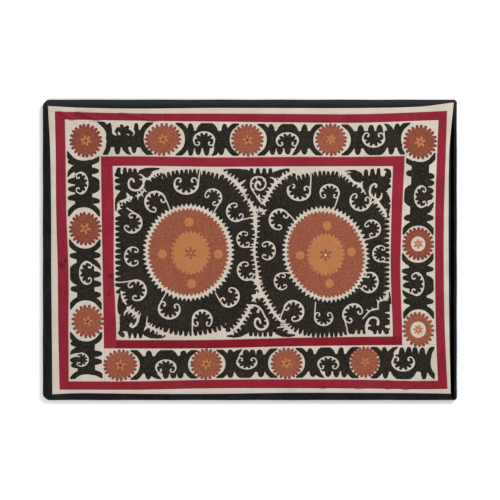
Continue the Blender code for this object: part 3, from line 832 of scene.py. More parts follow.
@dataclass
class Patch:
    """A stitched motif made into a low raised mesh, with threads laid in blocks."""

    canvas: Canvas
    finish: Silk
    lay: Lay = Lay.LEVEL
    centre: Point = (0.0, 0.0)
    layer: Layer = Layer.CLOTH
    height: float = STITCH_THICKNESS
    tips: Optional[tuple[float, float, float, float]] = None
    spacing: float = 0.0065

    def outline(self) -> tuple[np.ndarray, np.ndarray, np.ndarray]:
        """Plan of the motif: its points, its triangles and which points lie on its rim."""
        canvas = self.canvas
        points, edges, rim = [], [], []
        for level in (0.0, -0.0009):
            for loop in canvas.contours(level):
                start = len(points)
                count = len(loop)
                points.extend(loop.tolist())
                edges.extend((start + k, start + (k + 1) % count) for k in range(count))
                rim.extend([level == 0.0] * count)
        rng = np.random.default_rng(SEED)
        x = np.arange(canvas.x[0], canvas.x[-1], self.spacing)
        y = np.arange(canvas.y[0], canvas.y[-1], self.spacing * 0.87)
        gx, gy = np.meshgrid(x, y)
        gx = gx + self.spacing / 2 * (np.arange(len(y)) % 2)[:, None]
        gx = (gx + rng.uniform(-0.2, 0.2, gx.shape) * self.spacing).ravel()
        gy = (gy + rng.uniform(-0.2, 0.2, gy.shape) * self.spacing).ravel()
        keep = canvas.read(canvas.depth, gx, gy) < -0.0026
        points.extend(zip(gx[keep].tolist(), gy[keep].tolist()))
        result = delaunay_2d_cdt([Vector(p) for p in points], edges, [], 0, 1e-7, True)
        plan = np.array([(v.x, v.y) for v in result[0]])
        flags = np.array([any(o < len(rim) and rim[o] for o in source) for source in result[3]])
        faces = np.array([f for f in result[2] if len(f) == 3])
        middle = plan[faces].mean(1)
        inside = canvas.read(canvas.depth, middle[:, 0], middle[:, 1]) < 0
        return plan, faces[inside], flags

    def build(self, name: str, *nodes: str) -> Piece:
        """Make the motif's piece.

        Args:
            name: Its name.
            *nodes: The solids that it stands for.

        Returns:
            The piece.
        """
        plan, faces, on_rim = self.outline()
        a, b, c = (plan[faces[:, k]] for k in range(3))
        turned = (b[:, 0] - a[:, 0]) * (c[:, 1] - a[:, 1]) - (b[:, 1] - a[:, 1]) * (c[:, 0] - a[:, 0]) < 0
        faces[turned] = faces[turned][:, ::-1]
        used = np.unique(faces)
        renumber = np.full(len(plan), -1)
        renumber[used] = np.arange(len(used))
        plan, faces, on_rim = plan[used], renumber[faces], on_rim[used]
        x, y = plan[:, 0], plan[:, 1]
        deep = np.where(on_rim, 0.0, -self.canvas.read(self.canvas.depth, x, y))
        swell = 1 - (1 - np.clip(deep / 0.0026, 0, 1)) ** 2
        uneven = 0.06 * np.sin(x * 410 + 1.3 * np.sin(y * 230)) * np.sin(y * 380 + 1.1 * np.sin(x * 170))
        ground = CREAM_TOP + slack(x, y) + self.layer.value
        top = ground + 0.0002 + (self.height - 0.0002) * swell * (1 + uneven)
        edges = np.vstack([faces[:, [0, 1]], faces[:, [1, 2]], faces[:, [2, 0]]])
        count = len(plan)
        forward = edges[:, 0].astype(np.int64) * count + edges[:, 1]
        single = edges[~np.isin(forward, edges[:, 1].astype(np.int64) * count + edges[:, 0])]
        upper = np.stack([x, y, top], -1)
        lower = np.stack([x, y, ground - 0.0001], -1)
        skirt = np.vstack([np.stack([single[:, 0], single[:, 0] + count, single[:, 1] + count], -1),
                           np.stack([single[:, 0], single[:, 1] + count, single[:, 1]], -1)])
        shell = np.vstack([faces, faces[:, ::-1] + count, skirt])
        mesh = mesh_of(name, np.vstack([upper, lower]), shell)
        self.thread_ways(mesh, plan, faces)
        if self.tips:
            cx, cy, inner, outer = self.tips
            share = np.clip((np.hypot((x - cx), (y - cy)) - inner) / (outer - inner), 0, 1)
            values = mesh.attributes.new("tip", "FLOAT", "POINT")
            values.data.foreach_set("value", np.concatenate([share, share]).astype(np.float32))
        return put_piece(name, mesh, self.finish, *nodes)

    def thread_ways(self, mesh: bpy.types.Mesh, plan: np.ndarray, faces: np.ndarray) -> None:
        """Write the map whose first axis runs along the laid threads.

        Args:
            mesh: The finished mesh, whose first faces are the given ones, then the same turned over.
            plan: Places of its upper points.
            faces: Its upper faces.
        """
        corners = plan[faces]
        middle = corners.mean(1)
        block = self.canvas.read(self.canvas.block, middle[:, 0], middle[:, 1], nearest=True)
        turn = np.radians(np.array(self.canvas.turns))[block]
        turn = np.where(block == 0, pi / 2 if self.lay is Lay.UPRIGHT else 0.0, turn)[:, None]
        u = corners[..., 0] * np.cos(turn) + corners[..., 1] * np.sin(turn)
        v = corners[..., 1] * np.cos(turn) - corners[..., 0] * np.sin(turn)
        if self.lay is Lay.ROUND:
            px, py = corners[..., 0] - self.centre[0], corners[..., 1] - self.centre[1]
            qx, qy = middle[:, 0] - self.centre[0], middle[:, 1] - self.centre[1]
            angle = np.arctan2(qy, qx)[:, None]
            swing = (np.arctan2(py, px) - angle + pi) % tau - pi
            body = (block == 0)[:, None]
            u = np.where(body, (angle + swing) * 0.3, u)
            v = np.where(body, np.hypot(px, py), v)
        values = np.zeros((len(mesh.loops), 2), np.float32)
        laid = np.stack([u, v], -1)
        values[:laid.size // 2] = laid.reshape(-1, 2)
        values[laid.size // 2:laid.size] = laid[:, ::-1].reshape(-1, 2)
        layer = mesh.uv_layers.new(name="lay")
        layer.data.foreach_set("uv", values.ravel())


@dataclass(frozen=True)
class Horn:
    """A horn: a C of bare cloth round a black palmette, with hooked ends and often a tail."""

    x: float
    y: float
    across: float
    out: float
    opening: float
    tail: Optional[Point] = None
    fingers: int = 5

    def place(self, u: float, v: float) -> Point:
        """A point from shares of its radii, across its opening and towards it."""
        turn = radians(self.opening - 90)
        a, b = u * self.across, v * self.out
        return self.x + a * cos(turn) - b * sin(turn), self.y + a * sin(turn) + b * cos(turn)

    def line(self, points: Iterable[Sequence[float]]) -> list[Disk]:
        """Points of a stroke, with radii as shares of the horn's radius across."""
        size = (self.across + self.out) / 2
        return [(*self.place(u, v), r * size) for u, v, r in points]

    def draw(self, canvas: Canvas) -> None:
        """Leave the C bare on a canvas and stitch the palmette in it."""
        canvas.oval(self.x, self.y, self.across, self.out, self.opening - 90, bare=True,
                    below=self.out * 0.10)
        canvas.stroke(self.line([(0, 0.34, 0.36), (0, -0.10, 0.45)]))
        lobes = self.fingers + 1
        for k in range(lobes):
            angle = radians((k - (lobes - 1) / 2) * 180 / (lobes - 1))
            u, v = sin(angle), 0.02 - cos(angle)
            canvas.stroke(self.line([(0.34 * u, 0.34 * v, 0.16),
                                     (0.705 * u, 0.705 * v, 0.98 / (lobes + 0.4))]))
        for side in (-1, 1):
            gap = radians(57)
            end_u, end_v = 0.93 * sin(gap), 0.93 * cos(gap)
            hook_u, hook_v = end_u - 0.205 * sin(gap), end_v - 0.205 * cos(gap)
            arm = []
            for k in range(9):
                angle = radians(104 - (104 - 57) * k / 8)
                arm.append((side * 0.93 * sin(angle), 0.93 * cos(angle), 0.078 - 0.002 * k))
            for k in range(1, 10):
                angle = gap - radians(200) * k / 9
                arm.append((side * (hook_u + 0.20 * sin(angle)), hook_v + 0.20 * cos(angle),
                            0.060 if k < 8 else 0.085))
            canvas.stroke(self.line(arm), bare=True)
        if self.tail:
            self.draw_tail(canvas)

    def draw_tail(self, canvas: Canvas) -> None:
        """Leave the tail's narrow line bare, from the nearer arm of the C to its end."""
        turn = radians(self.opening - 90)
        dx, dy = self.tail[0] - self.x, self.tail[1] - self.y
        side = 1 if dx * cos(turn) + dy * sin(turn) > 0 else -1
        size = (self.across + self.out) / 2
        start = self.place(side * 0.90, -0.25)
        along = self.place(side * 0.96, 0.35)
        points = []
        for k in range(13):
            t = k / 12
            x = (1 - t) ** 2 * start[0] + 2 * t * (1 - t) * along[0] + t * t * self.tail[0]
            y = (1 - t) ** 2 * start[1] + 2 * t * (1 - t) * along[1] + t * t * self.tail[1]
            points.append((x, y, size * 0.070 * (1 - t) + 0.0027 * t))
        canvas.stroke(points, bare=True)


# Horns of each ring: place, radii across and towards the opening, opening, tail's end, fingers
HORNS_MM = {
    "left": (
        (-318, 328, 64, 52, 90, -247, 412, 5), (-472, 240, 56, 56, -45, -398, 197, 5),
        (-587, 134, 53, 50, 158, -652, 234, 5), (-585, -33, 50, 44, 0, None, None, 4),
        (-567, -202, 55, 52, 200, -662, -164, 5), (-403, -296, 57, 52, 80, -421, -220, 5),
        (-238, -350, 52, 52, -90, -288, -446, 5), (-101, -237, 54, 48, 140, -172, -214, 5),
        (-20, -106, 50, 44, 25, 30, -168, 5), (-29, 52, 42, 38, 10, 30, 14, 4),
        (-73, 188, 50, 45, 30, 30, 165, 5), (-183, 263, 46, 44, 225, -184, 178, 5),
    ),
    "right": (
        (245, 294, 61, 50, 80, 306, 412, 5), (399, 286, 51, 44, -90, 421, 206, 5),
        (552, 243, 54, 50, 75, 612, 276, 5), (612, 106, 46, 44, 205, 572, 50, 5),
        (652, -19, 43, 40, 0, 704, -62, 5), (598, -163, 54, 46, 165, 550, -189, 5),
        (514, -318, 55, 48, -50, 492, -444, 5), (369, -339, 48, 42, 90, 329, -262, 5),
        (219, -306, 56, 53, 215, 150, -352, 5), (158, -158, 44, 38, 8, 192, -114, 4),
        (88, -4, 48, 42, 180, None, None, 4), (147, 152, 55, 52, -30, 222, 148, 5),
    ),
}


@dataclass(frozen=True)
class Oval:
    """A turned oval: its centre, its radii and the turn of its first axis."""

    x: float
    y: float
    rx: float
    ry: float
    turn: float = 0.0

    def grown(self, by: float) -> "Oval":
        """The oval with both radii longer by a length."""
        return Oval(self.x, self.y, self.rx + by, self.ry + by, self.turn)

    def rim(self, angle: float) -> tuple[float, float, float, float]:
        """X and Y of a point of its rim, and of the way square to it there."""
        c, s = cos(radians(self.turn)), sin(radians(self.turn))
        px, py = self.rx * cos(angle), self.ry * sin(angle)
        nx, ny = cos(angle) / self.rx, sin(angle) / self.ry
        norm = hypot(nx, ny)
        return (self.x + px * c - py * s, self.y + px * s + py * c,
                (nx * c - ny * s) / norm, (nx * s + ny * c) / norm)


def teeth(canvas: Canvas, oval: Oval, way: int, depth: float, count: int, root: float, tip: float,
          rng: np.random.Generator) -> None:
    """Stitch teeth round an oval.

    Args:
        canvas: Where they go.
        oval: The oval through their tips.
        way: 1 if they point away from its centre, or -1.
        depth: How long a tooth is.
        count: How many.
        root: A tooth's radius at its root.
        tip: Its radius at the tip.
        rng: Source of their small unevenness.
    """
    for k in range(count):
        x, y, nx, ny = oval.rim(tau * (k + rng.uniform(-0.07, 0.07)) / count)
        back, slant = way * (tip + rng.uniform(-0.0006, 0.0012)), rng.uniform(-0.0013, 0.0013)
        canvas.stroke([(x - way * depth * nx, y - way * depth * ny, root),
                       (x - back * nx - slant * ny, y - back * ny + slant * nx, tip)])


@dataclass(frozen=True)
class Medallion:
    """A rust disc with an orange flower and dots, in a black ring of horns and fingers."""

    name: str
    x: float
    y: float
    disc: Oval
    hole: Oval
    flower: Oval
    west: float
    east: float
    dots: tuple[Point, ...]
    dot_radius: float
    bare_middle: bool
    pitches: tuple[float, float, float, float]
    ring_radius: float = 0.419
    north: float = 0.404
    south: float = -0.437
    finger: float = 0.027

    def rim(self, inset: float) -> Callable[[float], Point]:
        """The ring's outer line, drawn in by an inset, as a function of the angle."""
        def point(angle: float) -> Point:
            """One point of the line."""
            dx, dy = cos(angle), sin(angle)
            reach = self.ring_radius - inset
            if abs(dx) > 1e-6:
                reach = min(reach, ((self.east - inset if dx > 0 else self.west + inset) - self.x) / dx)
            if abs(dy) > 1e-6:
                reach = min(reach, ((self.north - inset if dy > 0 else self.south + inset) - self.y) / dy)
            return self.x + reach * dx, self.y + reach * dy
        return point

    def outer_fingers(self, canvas: Canvas, rng: np.random.Generator) -> None:
        """Stitch round-tipped fingers square to the ring's outer line, but for the gap's side."""
        line = self.rim(self.finger + 0.004)
        fine = [line(tau * k / 1440) for k in range(1440)]
        walked, goal = 0.0, 0.0
        for k in range(1440):
            walked += hypot(fine[k][0] - fine[k - 1][0], fine[k][1] - fine[k - 1][1]) if k else 0.0
            if walked < goal:
                continue
            (x0, y0), (x1, y1) = fine[k - 6], fine[(k + 6) % 1440]
            span = hypot(x1 - x0, y1 - y0)
            nx, ny = (y1 - y0) / span, -(x1 - x0) / span
            pitch = self.pitches[int(degrees(atan2(ny, nx)) % 360 / 90 + 0.5) % 4]
            goal += pitch * rng.uniform(0.93, 1.07)
            x, y = fine[k]
            if abs(x - 0.030) < self.finger + 0.006:
                continue
            reach = self.finger + 0.004 - 0.33 * pitch + rng.uniform(-0.0016, 0.0016)
            lean = rng.uniform(-0.0016, 0.0016)
            canvas.stroke([(x - 0.006 * nx, y - 0.006 * ny, 0.53 * pitch),
                           (x + 0.011 * nx, y + 0.011 * ny, 0.45 * pitch),
                           (x + reach * nx - lean * ny, y + reach * ny + lean * nx, 0.33 * pitch)])

    def ring(self) -> Canvas:
        """Stitch the black ring and return its plan."""
        rng = np.random.default_rng(SEED + int(abs(self.x) * 1000))
        canvas = Canvas(self.west - 0.02, self.south - 0.01, self.east + 0.02, self.north + 0.01)
        inset = self.finger
        gap_y, gap_x = (np.array(MIDDLE_GAP_MM[k::3][::-1]) * MM for k in (1, 0))

        def body(x: np.ndarray, y: np.ndarray) -> np.ndarray:
            """Distance to the ring's body without fingers."""
            far = np.hypot(x - self.x, y - self.y) - (self.ring_radius - inset)
            middle = np.interp(y, gap_y, gap_x)
            if self.x < 0:
                far = np.maximum(far, np.maximum(x - middle, self.west + inset - x))
            else:
                far = np.maximum(far, np.maximum(x - self.east + inset, middle - x))
            return np.maximum(far, np.maximum(y - self.north + inset, self.south + inset - y))

        canvas.field(body)
        self.outer_fingers(canvas, rng)
        hole = self.hole.grown(0.018)
        canvas.oval(*astuple(hole), bare=True)
        teeth(canvas, self.hole, -1, 0.021, round(pi * (hole.rx + hole.ry) / 0.0236), 0.0124, 0.0042, rng)
        for x, y, across, out, opening, tail_x, tail_y, fingers in HORNS_MM[self.name]:
            tail = None if tail_x is None else (tail_x * MM, tail_y * MM)
            Horn(x * MM, y * MM, across * MM, out * MM, opening, tail, fingers).draw(canvas)
        open_field(canvas)
        open_gap(canvas, metres(MIDDLE_GAP_MM), 0.025)
        Patch(canvas, BLACK_SILK, Lay.ROUND, (self.x, self.y)).build(f"ring_{self.name}_work",
                                                                     f"ring_{self.name}")
        return canvas

    def disc_work(self) -> Piece:
        """Stitch the rust disc."""
        disc = self.disc
        canvas = Canvas(disc.x - 0.24, disc.y - 0.25, disc.x + 0.24, disc.y + 0.25)
        canvas.oval(*astuple(disc.grown(-0.016)))
        teeth(canvas, disc, 1, 0.018, round(pi * (disc.rx + disc.ry) / 0.0212), 0.0106, 0.0056,
              np.random.default_rng(SEED + 1))
        if self.bare_middle:
            canvas.oval(self.flower.x, self.flower.y, 0.0065, 0.0070, bare=True)
        return Patch(canvas, RUST_SILK).build(f"disc_{self.name}_work", f"disc_{self.name}")

    def flower_work(self) -> None:
        """Stitch the orange flower, the rust star in its middle and the orange dots round it."""
        flower = self.flower
        fx, fy = flower.x, flower.y
        canvas = Canvas(fx - 0.12, fy - 0.13, fx + 0.12, fy + 0.13)
        canvas.oval(*astuple(flower.grown(-0.019)))
        teeth(canvas, flower, 1, 0.022, 28, 0.0116, 0.0066, np.random.default_rng(SEED + 2))
        if self.bare_middle:
            canvas.oval(fx, fy, 0.0065, 0.0070, bare=True)
        flat = Patch(canvas, ORANGE_SILK, Lay.ROUND, (fx, fy), Layer.FIRST_WORK, 0.0009)
        flat.build(f"flower_{self.name}_work", f"flower_{self.name}")
        star = Canvas(fx - 0.05, fy - 0.05, fx + 0.05, fy + 0.05, 0.001)
        for k in range(6):
            angle = radians(90 + 60 * k)
            c, s = cos(angle), sin(angle)
            star.stroke([(fx + 0.013 * c, fy + 0.013 * s, 0.0045), (fx + 0.023 * c, fy + 0.023 * s, 0.0068),
                         (fx + 0.032 * c, fy + 0.032 * s, 0.0022)])
        star.oval(fx, fy, 0.015, 0.015)
        star.oval(fx, fy, 0.0070, 0.0075, bare=True)
        raised = Patch(star, RUST_SILK, Lay.ROUND, (fx, fy), Layer.SECOND_WORK, 0.0006, None, 0.005)
        raised.build(f"star_{self.name}_work")
        xs, ys = [d[0] for d in self.dots], [d[1] for d in self.dots]
        dots = Canvas(min(xs) - 0.03, min(ys) - 0.03, max(xs) + 0.03, max(ys) + 0.03)
        for x, y in self.dots:
            dots.oval(x, y, self.dot_radius * 0.97, self.dot_radius)
        round_dots = Patch(dots, ORANGE_SILK, Lay.UPRIGHT, (0, 0), Layer.FIRST_WORK, 0.0007)
        round_dots.build(f"dots_{self.name}_work")

    def build(self) -> Canvas:
        """Stitch the whole medallion and return its ring's plan."""
        self.disc_work()
        self.flower_work()
        return self.ring()


MEDALLIONS = (
    Medallion("left", -0.300, -0.014, Oval(-0.308, -0.011, 0.2045, 0.220), Oval(-0.306, -0.012, 0.214, 0.230),
              Oval(-0.296, -0.016, 0.100, 0.111), -0.673, 0.030,
              ((-0.304, 0.138), (-0.438, -0.022), (-0.158, -0.022), (-0.292, -0.170)), 0.0235, False,
              (0.024, 0.0215, 0.0275, 0.0235)),
    Medallion("right", 0.377, -0.023, Oval(0.379, -0.023, 0.194, 0.221, 20),
              Oval(0.380, -0.0215, 0.200, 0.230, 17),
              Oval(0.379, -0.0245, 0.097, 0.107), 0.030, 0.699,
              ((0.386, 0.121), (0.252, -0.027), (0.508, -0.010), (0.398, -0.168)), 0.0225, True,
              (0.0235, 0.0205, 0.024, 0.0225)),
)


# Rosettes of the border: place, radii, teeth, star petals, star radius, dark middle, reddish, bare ring
ROSETTES_MM = (
    ("rosette_north_1", -820, 546, 80, 82, 22, 6, 29, True, True, 0),
    ("rosette_north_2", -434, 552, 90, 79, 22, 6, 28, True, False, 0),
    ("rosette_north_3", -12, 549, 79, 79, 22, 5, 27, True, False, 0),
    ("rosette_north_4", 406, 551, 77, 79, 22, 6, 27, False, False, 0),
    ("rosette_north_5", 851, 539, 83, 84, 22, 6, 30, False, True, 0),
    ("rosette_west_1", -823, 105, 79, 82, 22, 5, 30, False, True, 0),
    ("rosette_west_2", -811, -358, 79, 82, 20, 5, 29, True, False, 0),
    ("rosette_south_1", -648, -577, 83, 76, 22, 5, 29, True, False, 0),
    ("rosette_south_2", -218, -571, 77, 75, 22, 6, 27, True, False, 0),
    ("rosette_south_3", 184, -567, 78, 76, 22, 6, 29, True, False, 0),
    ("rosette_south_4", 575, -561, 75, 76, 22, 5, 25, False, False, 0),
    ("rosette_east_1", 842, 30, 77, 80, 22, 6, 25, False, True, 36),
    ("rosette_east_2", 842, -399, 77, 86, 21, 7, 26, False, False, 39),
)


@dataclass(frozen=True)
class Rosette:
    """A rust rosette with rounded teeth and an orange star."""

    name: str
    x: float
    y: float
    rx: float
    ry: float
    teeth: int
    petals: int
    star: float
    dark_middle: bool
    reddish: bool
    bare_ring: float

    def work(self) -> Piece:
        """Stitch the rosette."""
        rng = np.random.default_rng(SEED + int(abs(self.x) * 1000) + self.teeth)
        canvas = Canvas(self.x - self.rx - 0.01, self.y - self.ry - 0.01,
                        self.x + self.rx + 0.01, self.y + self.ry + 0.01, 0.0014)
        oval = Oval(self.x, self.y, self.rx, self.ry, rng.uniform(0, 360) / self.teeth)
        canvas.oval(*astuple(oval.grown(-0.0135)))
        teeth(canvas, oval.grown(0.0035), 1, 0.022, self.teeth, 0.0098, 0.0072, rng)
        if self.bare_ring:
            canvas.oval(self.x, self.y, self.bare_ring, self.bare_ring * 1.04, bare=True)
        reach = (self.rx + self.ry) / 2
        finish = RED_RUST_SILK if self.reddish else RUST_SILK
        tips = (self.x, self.y, reach - 0.016, reach - 0.002)
        patch = Patch(canvas, finish, Lay.LEVEL, (self.x, self.y), tips=tips)
        return patch.build(self.name + "_work", self.name)


# Links of the border, in millimetres from the first rosette's centre along the side: the bare rounds
# at both ends, the arch and its half width, the leaves beside it, the leaf, fingers and curl facing it
Link = namedtuple("Link", "name side start end first_gap last_gap arch_way arch_at arch_half arch_leaves"
                          " fingers curl horn_x horn_y horn_across horn_out horn_opening")
LINKS_MM = (
    Link("link_north_1", "north", (-820, 546), (-432, 552), 105, 99, 0, 0, 0, (), (158,), (192, 224),
         -635, 552, 0, 0, 90),
    Link("link_north_2", "north", (-432, 552), (-12, 549), 108, 89, 1, 218, 62, (137, 307), (137, 174,
         214, 290), (274, 243), -229, 549, 56, 44, -90),
    Link("link_north_3", "north", (-12, 549), (409, 551), 97, 92, 1, 201, 62, (121, 284), (126, 162, 201,
         284), (256, 224), 188, 546, 58, 42, -90),
    Link("link_north_4", "north", (409, 551), (852, 543), 96, 96, -1, 217, 66, (132, 300), (146, 198, 240,
         327), (298, 266), 619, 557, 58, 46, 90),
    Link("link_west_1", "west", (-823, 546), (-823, 105), 100, 108, -1, 222, 50, (151, 299), (108, 201,
         242, 284), (134, 180), -845, 334, 57, 38, 180),
    Link("link_west_2", "west", (-823, 105), (-812, -362), 99, 110, 1, 225, 64, (136, 302), (131, 228,
         274, 330), (163, 206), -815, -115, 60, 39, 0),
    Link("link_west_3", "west", (-812, -362), (-817, -716), 96, 94, -1, 0, 0, (158, 196), (108, 188, 213),
         (136, 160), -842, -549, 35, 37, 180),
    Link("link_south_1", "south", (-648, -577), (-214, -571), 98, 95, -1, 231, 66, (144, 315), (140, 229,
         265, 300), (162, 206), -420, -588, 54, 40, -90),
    Link("link_south_2", "south", (-214, -571), (186, -565), 93, 95, 1, 189, 58, (117, 271), (118, 196,
         228, 263), (138, 174), -15, -562, 53, 36, 90),
    Link("link_south_3", "south", (186, -565), (575, -561), 90, 78, -1, 193, 56, (117, 268), (129, 207,
         247, 287), (144, 186), 392, -571, 55, 39, -90),
    Link("link_south_4", "south", (575, -561), (998, -560), 76, 94, 1, 194, 72, (105, 296), (100, 186,
         218, 252, 286), (120, 164), 767, -563, 59, 45, 90),
    Link("link_east_1", "east", (862, 543), (842, 30), 104, 92, -1, 272, 64, (161, 382), (174, 209, 246,
         279, 382), (350, 305), 858, 266, 57, 37, 0),
    Link("link_east_2", "east", (842, 30), (842, -395), 95, 98, 1, 207, 58, (125, 286), (138, 171, 206,
         288), (266, 232), 834, -171, 60, 39, 180),
)


@dataclass
class BorderLink:
    """A black link of the border: a crescent at each end, leaves, an arch, fingers and a horn."""

    row: Link
    clear: float = 0.0095

    def __post_init__(self) -> None:
        """Set the link's length, its direction and which way is outwards."""
        (x0, y0), (x1, y1) = self.row.start, self.row.end
        self.level = self.row.side in ("north", "south")
        self.length = hypot(x1 - x0, y1 - y0) * MM
        self.way = 1 if (x1 - x0 if self.level else y1 - y0) > 0 else -1
        self.outward = 1 if self.row.side in ("north", "east") else -1

    def middle(self, place: float) -> tuple[float, float]:
        """The border's middle line and half width at a place along the side."""
        outer = smooth_line(self.row.side, "red_inside", place)
        inner = smooth_line(self.row.side, "band_outside", place)
        return (outer + inner) / 2, abs(outer - inner) / 2

    def at(self, along: float, out: float, radius: float) -> Disk:
        """A point of a stroke, along from the first rosette's centre and outward from the middle."""
        place = self.row.start[0 if self.level else 1] * MM + self.way * along
        off = self.middle(place)[0] + self.outward * out
        return (place, off, radius) if self.level else (off, place, radius)

    def reach(self, along: float) -> float:
        """How far from the middle a leaf's tip may reach."""
        return self.middle(self.row.start[0 if self.level else 1] * MM + self.way * along)[1] - self.clear

    def crescents(self, canvas: Canvas) -> None:
        """Leave the round about each rosette bare and stitch a round-tipped crescent along it."""
        for along, gap, way in ((0.0, self.row.first_gap, 1), (self.length, self.row.last_gap, -1)):
            inner, tall = gap * MM, self.reach(along)
            for back, wide, high in ((0.0845, 0.0845, tall + 0.011), (0.150, 0.110, 0.11)):
                x, y, _ = self.at(along + way * (inner - back), 0, 0)
                canvas.oval(x, y, *((wide, high) if self.level else (high, wide)), bare=True)
            at_corner = min(abs(self.at(along, 0, 0)[0]) - 0.75, abs(self.at(along, 0, 0)[1]) - 0.5) > 0
            arc = []
            for k in range(17):
                angle = radians(-80 + 10 * k)
                bend = 0.040 if at_corner and angle < 0 else 0.072
                off = inner + 0.0125 - bend * (1 - cos(angle)) + 0.006 * sin(angle) ** 2
                arc.append(self.at(along + way * off, (tall - 0.001) * sin(angle),
                                   0.0022 + 0.0108 * min(1.0, 2.1 * cos(angle))))
            canvas.stroke(arc)

    def trim(self, canvas: Canvas) -> None:
        """Keep the work clear of the seams on every side."""
        places = canvas.x if self.level else canvas.y
        middles = np.array([self.middle(p) for p in places])
        across = canvas.y[:, None] if self.level else canvas.x[None, :]
        off, half = (middles[:, k][None, :] if self.level else middles[:, k][:, None] for k in (0, 1))
        ends = ("west", "east") if self.level else ("south", "north")
        at = middles[len(middles) // 2, 0]
        low, high = (smooth_line(end, "red_inside", at) for end in ends)
        along = places[None, :] if self.level else places[:, None]
        past_ends = np.maximum(low + 0.012 - along, along - high + 0.012)
        over = np.maximum(np.abs(across - off) - half + 0.0078, past_ends)
        canvas.depth = np.maximum(canvas.depth, over)

    def build(self) -> Piece:
        """Stitch the link."""
        row = self.row
        (x0, y0), (x1, y1) = row.start, row.end
        pad_x, pad_y = (0.0, 0.105) if self.level else (0.105, 0.0)
        canvas = Canvas(min(x0, x1) * MM - pad_x, min(y0, y1) * MM - pad_y,
                        max(x0, x1) * MM + pad_x, max(y0, y1) * MM + pad_y)
        rng = np.random.default_rng(SEED + len(row.name) * 7 + int(abs(row.horn_x)))
        way = row.arch_way or 1
        canvas.stroke([self.at(row.first_gap * MM + 0.020, 0, 0.044), self.at(self.length / 2, 0, 0.043),
                       self.at(self.length - row.last_gap * MM - 0.020, 0, 0.044)], body=True)
        if row.arch_half:
            half, at = row.arch_half * MM, row.arch_at * MM
            tall = self.reach(at) + 0.003
            turn = {"north": 0, "south": 180, "west": 90, "east": -90}[row.side] + (0 if way > 0 else 180)
            for shift in (-0.28, 0.0, 0.28):
                x, y, _ = self.at(at + shift * half, 0, 0)
                canvas.oval(x, y, 0.72 * half, tall, turn + 180, below=-0.020)
        for along in row.arch_leaves:
            self.leaf(canvas, along * MM, way, rng)
        for along in row.fingers:
            self.leaf(canvas, along * MM, -way, rng)
        base, tip = (c * MM for c in row.curl)
        reach = self.reach(tip)
        canvas.stroke([self.at(base, -way * 0.024, 0.019),
                       self.at(base + (tip - base) * 0.15, -way * 0.048, 0.0150),
                       self.at(base + (tip - base) * 0.50, -way * (reach - 0.012), 0.0105),
                       self.at(tip, -way * (reach - 0.001), 0.0030)])
        self.crescents(canvas)
        self.trim(canvas)
        if row.horn_across:
            away = 0.009 if tip > base else -0.009
            end = self.at(tip + away, -way * (reach + 0.006), 0)
            Horn(row.horn_x * MM, row.horn_y * MM, row.horn_across * MM, row.horn_out * MM,
                 row.horn_opening, end[:2]).draw(canvas)
        else:
            self.open_palmette(canvas)
        lay = Lay.LEVEL if self.level else Lay.UPRIGHT
        return Patch(canvas, BLACK_SILK, lay).build(row.name + "_work", row.name)

    def leaf(self, canvas: Canvas, along: float, way: int, rng: np.random.Generator) -> None:
        """Stitch a round-tipped leaf that stands across the border.

        Args:
            canvas: Where it goes.
            along: Where it stands.
            way: 1 for outward and -1 for inward.
            rng: Source of its small unevenness.
        """
        lean, reach = rng.uniform(-0.003, 0.003), self.reach(along) + rng.uniform(-0.003, 0.002)
        canvas.stroke([self.at(along, way * 0.030, 0.0190), self.at(along + lean / 2, way * 0.054, 0.0155),
                       self.at(along + lean, way * (reach - 0.0115), 0.0115)])

    def open_palmette(self, canvas: Canvas) -> None:
        """Stitch the first link's palmette, which stands free on the cloth between two leaves."""
        at = self.at
        for along in (0.118, 0.252):
            canvas.stroke([at(along, 0.0, 0.0185), at(along, 0.045, 0.0130), at(along, 0.068, 0.0095)])
        canvas.stroke([at(0.241, -0.010, 0.019), at(0.241, -0.048, 0.0140), at(0.241, -0.064, 0.0095)])
        canvas.stroke([at(0.150, 0.060, 0.017), at(0.187, 0.045, 0.034), at(0.224, 0.060, 0.017)], bare=True)
        canvas.stroke([at(0.150, 0.034, 0.019), at(0.187, 0.060, 0.024), at(0.226, 0.030, 0.019)], bare=True)
        canvas.stroke([at(0.144, 0.080, 0.014), at(0.230, 0.080, 0.014)], bare=True)
        canvas.stroke([at(0.187, -0.014, 0.020), at(0.189, 0.016, 0.016), at(0.187, 0.034, 0.017)])
        canvas.stroke([at(0.187, 0.036, 0.015), at(0.179, 0.062, 0.0090)])
        canvas.stroke([at(0.190, 0.036, 0.015), at(0.208, 0.056, 0.0090)])
        canvas.stroke([at(0.184, 0.036, 0.014), at(0.162, 0.047, 0.0105), at(0.152, 0.036, 0.008),
                       at(0.157, 0.021, 0.004)])
        canvas.stroke([at(0.194, 0.036, 0.014), at(0.214, 0.034, 0.0115), at(0.229, 0.024, 0.010),
                       at(0.222, 0.012, 0.006)])


